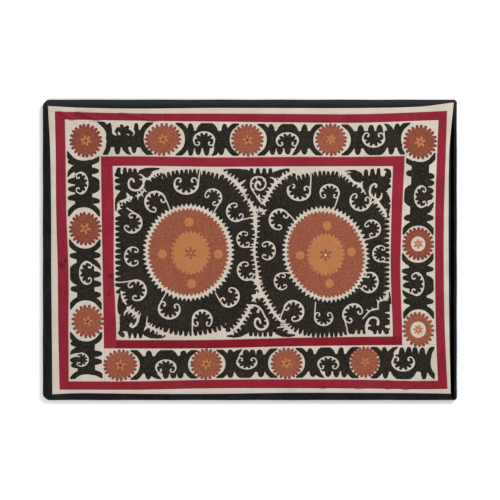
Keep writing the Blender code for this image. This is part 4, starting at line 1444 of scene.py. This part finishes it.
# Sprays of the field: their box, how far in the sides' body ends, what is stitched, bare gaps with
# teeth on the ring's side, bare gaps with teeth on both, and plain bare lines. A line is a run of
# x, y, radius
Spray = namedtuple("Spray", "name west south east north inset black ringed gaps bare")
SPRAYS_MM = (
    Spray("spray_north_west", -682, 180, -440, 413, 34, (
        (-655, 385, 16, -655, 402, 11), (-626, 384, 13, -626, 403, 10), (-599, 384, 12, -599, 400, 9),
        (-575, 384, 12, -575, 399, 9), (-645, 378, 18, -666, 376, 11), (-645, 345, 17, -665, 345, 11),
        (-640, 312, 17, -663, 311, 12), (-642, 270, 20, -660, 250, 14, -668, 225, 7, -670, 198, 4), (-540,
        385, 18, -515, 394, 17, -485, 403, 9, -455, 406, 4),
    ), (
        (-530, 358, 6, -508, 354, 7, -495, 366, 7, -482, 382, 9, -464, 391, 10, -446, 395, 9), (-620, 249,
        7, -640, 243, 7, -654, 235, 7, -659, 220, 5, -659, 202, 4),
    ), (
        (-526, 304, 3.5, -538, 284, 3.5, -556, 270, 4.5, -573, 271, 2), (-588, 262, 5, -604, 262, 9, -618,
        250, 7),
    ), (
        (-580, 342, 5, -583, 352, 4.5, -593, 357, 4.5, -603, 348, 4.5, -607, 331, 5, -603, 313, 5.5, -592,
        302, 5, -575, 297, 5, -558, 298, 5, -545, 306, 7, -536, 316, 7, -531, 330, 4.5, -533, 345, 4.5,
        -530, 357, 5), (-553, 377, 2.5, -541, 375, 3.5, -533, 366, 4.5, -528, 357, 6), (-551, 352, 2, -535,
        352, 4), (-640, 384, 5, -642, 398, 4.5, -636, 406, 4), (-615, 283, 3, -606, 268, 8),
    )),
    Spray("spray_north_middle", -150, 160, 230, 413, 34, (
        (-20, 380, 22, -60, 386, 20, -98, 394, 12, -128, 397, 6), (8, 380, 12, 8, 400, 9), (40, 382, 12, 40,
        400, 9), (72, 382, 12, 72, 400, 9), (103, 380, 12, 103, 400, 9), (128, 374, 18, 155, 385, 17, 188,
        396, 12, 222, 401, 5),
    ), (), (
        (-146, 398, 9, -125, 378, 9, -105, 363, 9, -86, 352, 10, -70, 338, 12, -55, 322, 12, -44, 304, 8,
        -32, 284, 6, -20, 264, 6, -5, 248, 5, 8, 228, 6, 15, 206, 6, 22, 188, 6, 27, 168, 8), (222, 402, 8,
        203, 386, 7, 182, 372, 7, 162, 366, 5, 153, 350, 6, 143, 339, 9, 128, 334, 9, 116, 318, 7, 106, 300,
        6, 92, 280, 6, 83, 258, 6, 74, 240, 6, 58, 232, 5), (0, 201, 3, 20, 203, 5, 40, 200, 4, 57, 203, 6,
        66, 195, 6, 72, 178, 3),
    ), (
        (52, 326, 5, 48, 337, 6, 38, 341, 6, 29, 331, 5.5, 28, 316, 5.5, 36, 303, 4.5, 52, 299, 4, 67, 305,
        4, 77, 318, 4, 80, 334, 3.5, 75, 350, 4, 62, 362, 4, 42, 366, 4, 22, 362, 4, 9, 350, 4, 5, 332, 4,
        6, 314, 4, 14, 297, 3.5, 26, 280, 3, 36, 264, 3.5, 47, 248, 4, 60, 233, 4.5), (36, 352, 2, 30, 362,
        5), (68, 345, 2, 74, 354, 4), (17, 330, 2, 8, 334, 5), (24, 300, 2, 12, 303, 5), (102, 362, 2.5,
        114, 360, 3.5, 124, 352, 4.5, 130, 340, 7), (-22, 349, 2, -36, 338, 5, -54, 326, 7), (-16, 303, 2,
        -34, 300, 5, -44, 298, 6), (47, 276, 3, 44, 262, 6, 50, 252, 5),
    )),
    Spray("spray_north_east", 450, 150, 713, 413, 22, (
        (475, 393, 2, 500, 396, 4, 525, 388, 12, 552, 366, 20), (581, 378, 14, 581, 394, 9), (613, 378, 14,
        613, 396, 10), (645, 380, 14, 644, 399, 10), (674, 401, 4, 684, 401, 7, 694, 391, 12, 694, 370, 14,
        688, 345, 16), (685, 318, 14, 697, 318, 10), (678, 262, 20, 688, 240, 16, 694, 215, 9, 692, 190, 6,
        689, 166, 3),
    ), (
        (452, 390, 9, 474, 380, 11, 494, 364, 10, 508, 349, 8, 522, 337, 7, 540, 331, 8, 556, 326, 8, 561,
        306, 5.5, 572, 291, 4, 579, 279, 3.5), (636, 246, 8, 650, 224, 9, 664, 206, 9, 675, 190, 8, 680,
        176, 6, 680, 164, 5),
    ), (), (
        (631, 316, 6, 633, 326, 4.5, 624, 331, 4, 612, 325, 4.5, 603, 311, 5, 600, 291, 5.5, 603, 272, 6,
        613, 263, 5.5, 626, 258, 6, 636, 248, 8), (629, 283, 2, 627, 272, 4, 626, 262, 5), (636, 248, 7,
        650, 254, 5.5, 658, 266, 4.5, 660, 283, 2.5), (632, 246, 6, 616, 240, 3.5, 602, 228, 3), (659, 405,
        6, 661, 392, 8, 665, 378, 11), (560, 404, 8, 566, 374, 3), (597, 402, 6, 596, 374, 3), (629, 402, 6,
        629, 380, 3), (712, 296, 8, 682, 291, 2), (710, 236, 6, 696, 231, 2), (563, 342, 2, 557, 330, 6),
        (712, 356, 5, 700, 356, 2), (712, 331, 5, 699, 331, 2),
    )),
    Spray("spray_south_west", -678, -446, -412, -196, 20, (
        (-652, -226, 3, -650, -250, 10, -645, -275, 18, -642, -300, 20, -642, -320, 13), (-645, -415, 14,
        -636, -427, 11), (-601, -420, 12, -601, -434, 9), (-574, -420, 11, -573, -435, 8), (-547, -420, 12,
        -547, -434, 9), (-520, -416, 16, -495, -426, 16, -465, -432, 12, -440, -434, 8, -422, -430, 3),
    ), (
        (-642, -208, 5, -640, -230, 5, -631, -254, 6, -618, -272, 5),
    ), (
        (-610, -290, 9, -592, -306, 9, -574, -316, 9, -560, -332, 8), (-516, -364, 3, -514, -378, 6, -494,
        -390, 7, -474, -398, 6, -456, -404, 7, -440, -414, 7, -418, -421, 7),
    ), (
        (-558, -334, 8, -560, -356, 6, -571, -376, 6, -586, -386, 6, -597, -379, 5.5, -592, -369, 5), (-547,
        -318, 2.5, -556, -338, 6), (-513, -333, 2, -516, -364, 3), (-528, -402, 2, -517, -386, 6), (-628,
        -327, 2.5, -624, -312, 4.5, -610, -300, 7), (-631, -411, 4, -618, -414, 6, -613, -434, 7), (-668,
        -327, 8, -648, -327, 2), (-668, -355, 7, -650, -355, 2), (-668, -380, 7, -650, -380, 2), (-588,
        -440, 8, -588, -420, 2), (-560, -440, 7, -560, -420, 2), (-534, -440, 6, -532, -424, 2),
    )),
    Spray("spray_south_middle", -120, -446, 234, -150, 34, (
        (-20, -405, 16, -50, -419, 17, -80, -431, 9, -112, -431, 4), (5, -405, 12, 5, -424, 9), (29, -412,
        11, 29, -426, 8), (52, -412, 11, 52, -427, 8.5), (77, -412, 11, 77, -427, 8.5), (104, -408, 12, 104,
        -426, 9), (140, -408, 16, 165, -420, 15, 195, -428, 9, 222, -427, 5),
    ), (), (
        (36, -150, 12, 43, -178, 10, 50, -198, 9, 60, -216, 10, 70, -232, 11, 84, -250, 8, 90, -268, 8, 101,
        -283, 7, 110, -302, 7, 121, -317, 8, 136, -332, 7, 148, -350, 5, 164, -356, 4, 175, -374, 7, 186,
        -391, 10, 202, -403, 9, 218, -414, 8), (-2, -282, 7, -4, -302, 7, -15, -320, 7, -28, -336, 7, -40,
        -354, 8, -50, -374, 9, -66, -388, 9, -80, -402, 8, -100, -417, 8), (56, -230, 9, 34, -226, 7, 26,
        -242, 5, 11, -256, 4),
    ), (
        (-14, -274, 3, 0, -280, 6, 16, -277, 5, 33, -280, 4.5, 48, -289, 4.5, 60, -302, 4, 68, -318, 4, 76,
        -335, 4, 87, -350, 4.5, 91, -368, 5.5, 84, -385, 6, 71, -396, 5.5, 55, -399, 5, 40, -394, 5.5, 28,
        -380, 5, 24, -362, 4.5, 30, -347, 5.5, 42, -343, 5, 50, -352, 5, 53, -366, 4.5), (41, -309, 7, 44,
        -298, 4, 52, -292, 4), (137, -390, 2.5, 153, -386, 3.5, 172, -384, 5), (10, -228, 2.5, 28, -226, 5),
        (73, -353, 2, 84, -356, 5), (70, -378, 2, 80, -384, 5),
    )),
    Spray("spray_south_east", 500, -431, 713, -195, 12, (
        (698, -214, 3, 701, -240, 5, 699, -265, 9), (626, -400, 12, 626, -414, 9), (651, -400, 11, 651,
        -414, 8.5), (680, -402, 14, 684, -411, 12), (517, -395, 11, 516, -414, 9), (545, -395, 11, 545,
        -414, 8), (571, -395, 10, 572, -414, 8), (612, -398, 8, 614, -402, 6),
    ), (
        (688, -208, 5, 687, -228, 7, 688, -243, 6, 672, -249, 5, 656, -253, 4.5, 643, -259, 5),
    ), (), (
        (643, -259, 5, 641, -276, 3, 642, -295, 3.5, 625, -297, 4, 604, -303, 3.5, 593, -311, 3.5, 580,
        -327, 3, 565, -344, 2.5), (612, -289, 2, 616, -298, 4), (585, -298, 2, 592, -306, 4), (635, -250, 2,
        643, -260, 5), (640, -372, 7, 643, -358, 6, 638, -345, 5, 625, -338, 4.5, 610, -338, 4.5, 597, -345,
        5, 588, -360, 6, 583, -378, 7, 583, -396, 7, 586, -412, 7, 588, -424, 9), (605, -378, 2, 592, -378,
        6), (602, -422, 8, 610, -416, 5), (638, -426, 6, 638, -410, 2), (662, -426, 7, 663, -406, 2), (712,
        -316, 8, 678, -314, 2), (712, -345, 7, 690, -344, 2), (710, -378, 7, 694, -384, 8, 682, -383, 6),
        (531, -426, 7, 531, -404, 2), (558, -426, 7, 558, -402, 2),
    )),
)
# The bare gap between the two rings
MIDDLE_GAP_MM = (27, 175, 9, 27, 150, 12, 27, 122, 12, 30, 100, 5, 31, 62, 4, 25, 40, 5, 22, 20, 5,
                 22, -20, 6, 27, -50, 4, 32, -80, 4, 34, -105, 5, 37, -130, 10, 36, -165, 12)


def metres(stroke: Sequence[float]) -> list[Disk]:
    """Turn a run of x, y, radius in millimetres into the points of a stroke."""
    return [tuple(v * MM for v in stroke[i:i + 3]) for i in range(0, len(stroke), 3)]


def open_gap(canvas: Canvas, line: Sequence[Disk], pitch: float = 0.0225,
             ringed: bool = False) -> None:
    """Leave a line bare, with pointed teeth on both of its sides by turns, or on the ring's side.

    Args:
        canvas: The motif.
        line: X, Y and radius of its points.
        pitch: From one tooth to the next on the same side.
        ringed: Teeth only on the side of the nearer ring.
    """
    canvas.stroke([(x, y, r * 0.80) for x, y, r in line], bare=True)
    ring = min(MEDALLIONS, key=lambda m: hypot(line[0][0] - m.x, line[0][1] - m.y))
    rng = np.random.default_rng(SEED + len(line))
    points = np.array(line)
    places = np.concatenate([[0.0], np.cumsum(np.hypot(*np.diff(points[:, :2], axis=0).T))])

    def spot(at: float) -> np.ndarray:
        """X, Y and radius at a length along the line."""
        return np.array([np.interp(at, places, points[:, k]) for k in range(3)])

    place, side = pitch * 0.3, 1
    while place < places[-1] - 0.004:
        x, y, r = (float(v) for v in spot(place))
        dx, dy = (float(v) for v in (spot(place + 0.006) - spot(place - 0.006))[:2])
        if ringed:
            side = 1 if dx * (ring.y - y) - dy * (ring.x - x) > 0 else -1
        long = side * max(hypot(dx, dy), 1e-6)
        out, lean = r + rng.uniform(0.011, 0.017), rng.uniform(-0.003, 0.003)
        tip = (x - dy / long * out + dx / long * lean, y + dx / long * out + dy / long * lean, 0.0011)
        canvas.stroke([(x, y, min(0.0072, r + 0.0014)), tip], bare=True)
        side = -side
        place += pitch * (0.95 if ringed else 0.5) * rng.uniform(0.88, 1.12)


def open_field(canvas: Canvas) -> None:
    """Leave every bare line between the rings and the sprays open on a canvas."""
    for spray in SPRAYS_MM:
        for line in spray.ringed:
            open_gap(canvas, metres(line), ringed=True)
        for line in spray.gaps:
            open_gap(canvas, metres(line))
        for line in spray.bare:
            canvas.stroke(metres(line), bare=True)


@dataclass
class FieldSpray:
    """A black spray that fills what the rings leave of the field at a corner or between them."""

    row: Spray
    inset: float = 0.034
    lap: float = 0.0012

    def build(self, rings: Sequence[Canvas]) -> Piece:
        """Stitch the spray.

        Args:
            rings: Plans of the rings, whose edge it just goes under.

        Returns:
            Its piece.
        """
        row = self.row
        canvas = Canvas(row.west * MM, row.south * MM, row.east * MM, row.north * MM)
        middle_x, middle_y = (row.west + row.east) / 2 * MM, (row.south + row.north) / 2 * MM

        def body(x: np.ndarray, y: np.ndarray) -> np.ndarray:
            """Distance to the part outside the rings' bodies, in from the field's edges."""
            far = np.full(np.broadcast(x, y).shape, -FAR)
            for m in MEDALLIONS:
                far = np.maximum(far, m.ring_radius - m.finger - 0.004 - np.hypot(x - m.x, y - m.y))
            for side in ("north", "south", "west", "east"):
                if side not in row.name:
                    continue
                level = side in ("north", "south")
                way = 1 if side in ("north", "east") else -1
                edge = smooth_line(side, "field", middle_x if level else middle_y)
                far = np.maximum(far, way * ((y if level else x) - edge)
                                 + (self.inset if level else row.inset * MM))
            return far

        canvas.field(body)
        for stroke in row.black:
            canvas.stroke(metres(stroke))
        open_field(canvas)
        gx, gy = np.meshgrid(canvas.x, canvas.y)
        for ring in rings:
            inside = (gx > ring.x[1]) & (gx < ring.x[-2]) & (gy > ring.y[1]) & (gy < ring.y[-2])
            near = np.where(inside, ring.read(ring.depth, gx, gy), FAR)
            canvas.depth = np.maximum(canvas.depth, -self.lap - near)
        return Patch(canvas, BLACK_SILK).build(row.name + "_work", row.name)


def shape_tree(name: str, inputs: Iterable[tuple[str, str]]) -> Tree:
    """Start a node tree that makes a shape in one material.

    Args:
        name: The tree's name.
        inputs: Name and kind of each input but the material.

    Returns:
        The tree.
    """
    tree = bpy.data.node_groups.new(name, "GeometryNodeTree")
    tree.interface.new_socket("Geometry", in_out="OUTPUT", socket_type="NodeSocketGeometry")
    for label, kind in (*inputs, ("Material", "Material")):
        tree.interface.new_socket(label, in_out="INPUT", socket_type="NodeSocket" + kind)
    return tree


def ended(tree: Tree, spread: Socket, material: Socket) -> Tree:
    """End a node tree: its instances are made real and get the material."""
    real = add_node(tree, "GeometryNodeRealizeInstances", None, {0: spread})
    dressed = add_node(tree, "GeometryNodeSetMaterial", None,
                       {"Geometry": real.outputs[0], "Material": material})
    add_node(tree, "NodeGroupOutput", None, {0: dressed.outputs[0]})
    return tree


@dataclass
class StarGroup:
    """The orange stars of the border, whose petals a node tree repeats round each middle."""

    petal_faces: int = 12

    def tree(self) -> Tree:
        """Node tree of one star: a petal repeated round a circle."""
        sizes = ("Ring Radius", "Petal Length", "Petal Width", "Petal Height")
        tree = shape_tree("petals_round_a_middle", [("Petals", "Int")] + [(size, "Float") for size in sizes])
        given = add_node(tree, "NodeGroupInput").outputs
        middle = add_node(tree, "GeometryNodeMeshCircle", None,
                          {"Vertices": given["Petals"], "Radius": given["Ring Radius"]})
        petal = add_node(tree, "GeometryNodeMeshUVSphere", None,
                         {"Segments": self.petal_faces, "Rings": 6, "Radius": 0.5})
        size = add_node(tree, "ShaderNodeCombineXYZ", None,
                        {"X": given["Petal Length"], "Y": given["Petal Width"], "Z": given["Petal Height"]})
        place = add_node(tree, "GeometryNodeInputPosition")
        turn = add_node(tree, "FunctionNodeAlignRotationToVector", {"axis": "X"},
                        {"Vector": place.outputs[0]})
        spread = add_node(tree, "GeometryNodeInstanceOnPoints", None,
                          {"Points": middle.outputs[0], "Instance": petal.outputs[0],
                           "Rotation": turn.outputs[0], "Scale": size.outputs[0]})
        return ended(tree, spread.outputs[0], given["Material"])

    def gather(self, name: str, finish: Silk, tree: Tree,
               rows: Iterable[tuple[Rosette, dict, float]]) -> Piece:
        """Make one piece of a grown shape on each rosette.

        Args:
            name: The piece's name.
            finish: Its finish.
            tree: What grows the shape.
            rows: Rosettes, with the tree's inputs and the height above the cloth.

        Returns:
            The piece.
        """
        rng = np.random.default_rng(SEED + 3)
        points, faces, count = [], [], 0
        for r, values, height in rows:
            made = grown("star", tree, {**values, "Material": finish.material()})
            made.transform(Matrix.Rotation(rng.uniform(0, tau), 4, "Z"))
            co = np.zeros(len(made.vertices) * 3)
            made.vertices.foreach_get("co", co)
            co = co.reshape(-1, 3) + [r.x, r.y, 0]
            co[:, 2] += CREAM_TOP + slack(co[:, 0], co[:, 1]) + height
            points.append(co)
            faces.extend([tuple(i + count for i in p.vertices) for p in made.polygons])
            count += len(co)
            bpy.data.meshes.remove(made)
        mesh = bpy.data.meshes.new(name)
        mesh.from_pydata(np.vstack(points).tolist(), [], faces)
        mesh.shade_smooth()
        flat_lay(mesh)
        return put_piece(name, mesh, finish)

    def build(self, rosettes: Sequence[Rosette]) -> None:
        """Make every star of the border and the dark middles of some, each as one piece.

        Args:
            rosettes: The rosettes that they lie on.
        """
        tree, rust = self.tree(), Layer.FIRST_WORK.value
        self.gather("border_stars", ORANGE_SILK, tree, (
            (r, {"Petals": r.petals, "Ring Radius": r.star * 0.56, "Petal Length": r.star * 0.86,
                 "Petal Width": r.star * (0.46 if r.petals < 7 else 0.42), "Petal Height": 0.0020},
             0.0003 + (0.0 if r.bare_ring else rust)) for r in rosettes))
        self.gather("star_middles", DARK_RUST_SILK, tree, (
            (r, {"Petals": 5, "Ring Radius": 0.0018, "Petal Length": 0.0090, "Petal Width": 0.0080,
                 "Petal Height": 0.0022}, 0.0008 + rust) for r in rosettes if r.dark_middle))


def flat_lay(mesh: bpy.types.Mesh) -> None:
    """Give a mesh the map of thread ways, level all over."""
    layer = mesh.uv_layers.new(name="lay")
    index = np.zeros(len(mesh.loops), np.int32)
    mesh.loops.foreach_get("vertex_index", index)
    co = np.zeros(len(mesh.vertices) * 3, np.float32)
    mesh.vertices.foreach_get("co", co)
    layer.data.foreach_set("uv", co.reshape(-1, 3)[index, :2].ravel())


def grown(name: str, tree: Tree, values: dict,
          data: Optional[bpy.types.ID] = None) -> bpy.types.Mesh:
    """Run a node tree on an object and keep the result as a plain mesh.

    Args:
        name: Name of the mesh.
        tree: The node tree.
        values: Its inputs by name.
        data: What the tree starts from, or None for nothing.

    Returns:
        The mesh.
    """
    helper = stand(name, data or bpy.data.meshes.new(name))
    modifier = helper.modifiers.new("grown", "NODES")
    modifier.node_group = tree
    for item in tree.interface.items_tree:
        if item.item_type == "SOCKET" and item.in_out == "INPUT" and item.name in values:
            modifier[item.identifier] = values[item.name]
    graph = bpy.context.evaluated_depsgraph_get()
    made = bpy.data.meshes.new_from_object(helper.evaluated_get(graph), preserve_all_data_layers=True,
                                           depsgraph=graph)
    helper.modifiers.clear()
    bpy.data.objects.remove(helper)
    made.name = name
    return made


@dataclass
class Sewing:
    """The hand sewing along the seams and the rim, repeated along them by a node tree."""

    pitch: float = 0.0085
    length: float = 0.0050
    thickness: float = 0.0008
    slant: float = 52.0
    thread: Cotton = Cotton("waxed_cotton_sewing_thread", "outer_red_cotton", "6E2A30", "5A2228", "80403F",
                            0.0010, 0.80)
    hem_thread: Cotton = Cotton("cream_cotton_sewing_thread", "cream_cotton", "B5A68F", "A39279", "C6BBA9",
                                0.0010, 0.85)

    def tree(self) -> Tree:
        """Node tree that lays slanted stitches along a curve."""
        sizes = ("Pitch", "Stitch Length", "Thickness", "Slant", "Unevenness")
        tree = shape_tree("stitches_along_a_seam", [("Geometry", "Geometry")]
                          + [(size, "Float") for size in sizes] + [("Seed", "Int")])
        given = add_node(tree, "NodeGroupInput").outputs
        places = add_node(tree, "GeometryNodeResampleCurve", {"mode": "LENGTH"},
                          {"Curve": given["Geometry"], "Length": given["Pitch"]})
        stitch = add_node(tree, "GeometryNodeMeshUVSphere", None, {"Segments": 6, "Rings": 4, "Radius": 0.5})
        size = add_node(tree, "ShaderNodeCombineXYZ", None,
                        {"X": given["Stitch Length"], "Y": given["Thickness"], "Z": given["Thickness"]})
        along = add_node(tree, "GeometryNodeInputTangent")
        facing = add_node(tree, "FunctionNodeAlignRotationToVector", {"axis": "X"},
                          {"Vector": along.outputs[0]})
        less, more = (add_node(tree, "ShaderNodeMath", {"operation": how},
                               {0: given["Slant"], 1: given["Unevenness"]}) for how in ("SUBTRACT", "ADD"))
        by_hand = add_node(tree, "FunctionNodeRandomValue", {"data_type": "FLOAT"},
                           {2: less.outputs[0], 3: more.outputs[0], "Seed": given["Seed"]})
        angle = add_node(tree, "ShaderNodeCombineXYZ", None, {"Z": by_hand.outputs[1]})
        slanted = add_node(tree, "FunctionNodeRotateRotation", {"rotation_space": "LOCAL"},
                           {0: facing.outputs[0], 1: angle.outputs[0]})
        spread = add_node(tree, "GeometryNodeInstanceOnPoints", None,
                          {"Points": places.outputs[0], "Instance": stitch.outputs[0],
                           "Rotation": slanted.outputs[0], "Scale": size.outputs[0]})
        return ended(tree, spread.outputs[0], given["Material"])

    def path(self, line: str, inset: float, height: float) -> bpy.types.Curve:
        """The four runs of one line as a curve.

        Args:
            line: The line's name.
            inset: How far inside the line it runs.
            height: How far above the cream cloth.

        Returns:
            The curve.
        """
        curve = bpy.data.curves.new(line, "CURVE")
        curve.dimensions = "3D"
        corners = {key: crossing((key[1], line), (key[0], line))
                   for key in (("north", "west"), ("north", "east"), ("south", "west"), ("south", "east"))}
        for side in ("north", "south", "west", "east"):
            level = side in ("north", "south")
            way = -1 if side in ("north", "east") else 1
            ends = ((side, "west"), (side, "east")) if level else (("south", side), ("north", side))
            start, end = (corners[corner][0 if level else 1] for corner in ends)
            places = np.linspace(start + 0.004, end - 0.004, 160)
            points = []
            for at in places:
                off = smooth_line(side, line, at) + way * inset
                x, y = (at, off) if level else (off, at)
                points.append((x, y, CREAM_TOP + height + float(slack(np.array(x), np.array(y))), 1.0))
            spline = curve.splines.new("POLY")
            spline.points.add(len(points) - 1)
            spline.points.foreach_set("co", np.array(points, np.float32).ravel())
        return curve

    def build(self) -> None:
        """Sew the seams and the hem."""
        tree = self.tree()
        rows = [("seam_" + line, line, 0.0, -0.0003, self.thread, self.slant)
                for line in ("red_outside", "red_inside", "band_outside", "field")]
        rows.append(("hem_stitches", "rim", 0.0085, 0.0, self.hem_thread, 6.0))
        for number, (name, line, inset, height, finish, slant) in enumerate(rows):
            values = {"Pitch": self.pitch, "Stitch Length": self.length, "Thickness": self.thickness,
                      "Slant": radians(slant), "Unevenness": radians(9), "Seed": SEED + number,
                      "Material": finish.material()}
            mesh = grown(name, tree, values, self.path(line, inset, height))
            mesh.shade_smooth()
            put_piece(name, mesh, finish)


@dataclass
class MountingBoard:
    """The stiff board in its black cotton cover, folded over the edges and at the corners."""

    west: float = -1.0365
    east: float = 1.0365
    south: float = -0.7525
    north: float = 0.7525
    rounding: float = 0.004
    corners: tuple[tuple[str, float, float], ...] = (("south_east", 0.015, -90), ("north_east", 0.017, 0),
                                                     ("north_west", 0.038, 90), ("south_west", 0.037, 180))
    steps: int = 14

    def outline(self) -> np.ndarray:
        """The board's plan: points, with which way is outwards at each, and how folded the cover is."""
        rows = []
        for name, radius, turn in self.corners:
            x = self.east - radius if "east" in name else self.west + radius
            y = self.north - radius if "north" in name else self.south + radius
            for k in range(self.steps + 1):
                share = k / self.steps
                angle = radians(turn + 90 * share)
                folds = sum(max(0.0, 1 - abs(share - f) * 9) for f in (0.28, 0.62))
                rows.append((x + radius * cos(angle), y + radius * sin(angle), cos(angle), sin(angle), folds))
        full = []
        for k, row in enumerate(rows):
            after = rows[(k + 1) % len(rows)]
            count = max(1, round(hypot(after[0] - row[0], after[1] - row[1]) / 0.030))
            for i in range(count):
                t = i / count
                full.append([a * (1 - t) + b * t for a, b in zip(row, after)])
        return np.array(full)

    def build(self) -> Piece:
        """Make the covered board."""
        plan = self.outline()
        nx, ny, folds = plan[:, 2], plan[:, 3], plan[:, 4]
        r, high = self.rounding, BOARD_THICKNESS
        low_r = 0.003
        profile = [(low_r, 0.0)] + [(low_r * (1 - sin(a)), low_r * (1 - cos(a))) for a in (0.5, 1.05, pi / 2)]
        profile += [(0.0, high * 0.5)] + [(r * (1 - cos(a)), high - r + r * sin(a))
                                          for a in (0.0, 0.35, 0.75, 1.15, pi / 2)]
        profile += [(0.012, high), (0.030, high)]
        rings = []
        for inset, z in profile:
            side = 0.0006 * folds * (1.0 if 0 < z < high else 0.3)
            puffed = 0.0004 * np.sin(np.arange(len(plan)) * 0.61) * (1 if 0.004 < z < high - 0.002 else 0)
            x = plan[:, 0] - nx * (inset - side) + nx * (puffed - 0.0004)
            y = plan[:, 1] - ny * (inset - side) + ny * (puffed - 0.0004)
            rings.append(np.stack([x, y, np.full(len(plan), z)], -1))
        points = np.vstack(rings)
        count = len(plan)
        faces = []
        for level in range(len(profile) - 1):
            for k in range(count):
                a, b = level * count + k, level * count + (k + 1) % count
                faces.append((a, b, b + count, a + count))
        faces.append(tuple(range(count - 1, -1, -1)))
        faces.append(tuple(range(len(points) - count, len(points))))
        mesh = bpy.data.meshes.new("mounting_board_cover")
        mesh.from_pydata(points.tolist(), [], faces)
        mesh.shade_smooth()
        return put_piece("mounting_board_cover", mesh, BLACK_COTTON, "mounting_board")


@dataclass
class Cloth:
    """The sewn cotton ground: a field, and four bands of four strips each round it."""

    cream: float = CREAM_THICKNESS
    red: float = RED_THICKNESS

    def band(self, name: str, outer: str, inner: str, thickness: float, finish: Cotton,
             creased: bool = False) -> list[Panel]:
        """Four strips between two lines. The north one runs to both corners, and the others butt in turn."""
        return [
            Panel(f"{name}_north", ("west", outer), ("east", outer), ("north", inner), ("north", outer),
                  thickness, finish, "north" if creased else None),
            Panel(f"{name}_west", ("west", outer), ("west", inner), ("south", outer), ("north", inner),
                  thickness, finish),
            Panel(f"{name}_south", ("west", inner), ("east", outer), ("south", outer), ("south", inner),
                  thickness, finish, "south" if creased else None),
            Panel(f"{name}_east", ("east", inner), ("east", outer), ("south", inner), ("north", inner),
                  thickness, finish),
        ]

    def build(self) -> None:
        """Lay out every sheet."""
        panels = [Panel("field_panel", ("west", "field"), ("east", "field"), ("south", "field"),
                        ("north", "field"), self.cream, CREAM_COTTON)]
        panels += self.band("inner_red", "band_outside", "field", self.red, INNER_RED_COTTON)
        panels[3].finish = SOUTH_RED_COTTON
        panels += self.band("border_ground", "red_inside", "band_outside", self.cream, CREAM_COTTON)
        panels += self.band("outer_red", "red_outside", "red_inside", self.red, OUTER_RED_COTTON, True)
        panels += self.band("edging", "rim", "red_outside", self.cream, CREAM_COTTON)
        for panel in panels:
            panel.build()


@dataclass
class Studio:
    """A pale floor, soft light from above and the photograph's camera, straight over the cloth."""

    camera_at: tuple[float, float, float] = (0.0008, -0.0008, 7.0)
    lens: float = 100.5
    lights: tuple[tuple[str, tuple[float, float, float], float, float], ...] = (
        ("window", (5.6, 6.4, 4.6), 4.0, 1080.0), ("fill", (-5.0, -5.6, 7.0), 5.0, 440.0))

    def build(self) -> None:
        """Set up the floor, the lights and the camera."""
        floor_mesh = bpy.data.meshes.new("floor")
        size = 9.0
        floor_mesh.from_pydata([(-size, -size, 0), (size, -size, 0), (size, size, 0), (-size, size, 0)], [],
                               [(0, 1, 2, 3)])
        paint = bpy.data.materials.new("matt_white_paint")
        paint.use_nodes = True
        shader = paint.node_tree.nodes["Principled BSDF"]
        shader.inputs["Base Color"].default_value = linear("FCFCFC")
        shader.inputs["Roughness"].default_value = 0.9
        floor_mesh.materials.append(paint)
        floor = stand("floor", floor_mesh)
        world = bpy.data.worlds.new("studio")
        world.use_nodes = True
        world.node_tree.nodes["Background"].inputs[0].default_value = linear("F7F8FA")
        world.node_tree.nodes["Background"].inputs[1].default_value = 0.50
        bpy.context.scene.world = world
        for name, place, size, power in self.lights:
            light = bpy.data.lights.new(name, "AREA")
            light.shape = "SQUARE"
            light.size = size
            light.energy = power
            lamp = stand(name, light)
            lamp.location = place
            lamp.rotation_euler = (-Vector(place)).to_track_quat("-Z", "Y").to_euler()
        view = bpy.data.cameras.new("camera")
        view.lens = self.lens
        view.sensor_width = 36.0
        camera = stand("camera", view)
        camera.location = self.camera_at
        bpy.context.scene.camera = camera
        bpy.context.scene.view_settings.view_transform = "Standard"


def main() -> None:
    """Build every piece in order."""
    logging.basicConfig(level=logging.INFO, format="%(message)s", stream=sys.stdout)
    Studio().build()
    MountingBoard().build()
    Cloth().build()
    rings = [medallion.build() for medallion in MEDALLIONS]
    for spray in SPRAYS_MM:
        FieldSpray(spray).build(rings)
    rosettes = []
    for name, x, y, rx, ry, count, petals, star, dark, reddish, bare in ROSETTES_MM:
        rosette = Rosette(name, x * MM, y * MM, rx * MM, ry * MM, count, petals, star * MM, dark,
                          reddish, bare * MM)
        rosette.work()
        rosettes.append(rosette)
    StarGroup().build(rosettes)
    for link in LINKS_MM:
        BorderLink(link).build()
    Sewing().build()


if __name__ == "__main__":
    main()
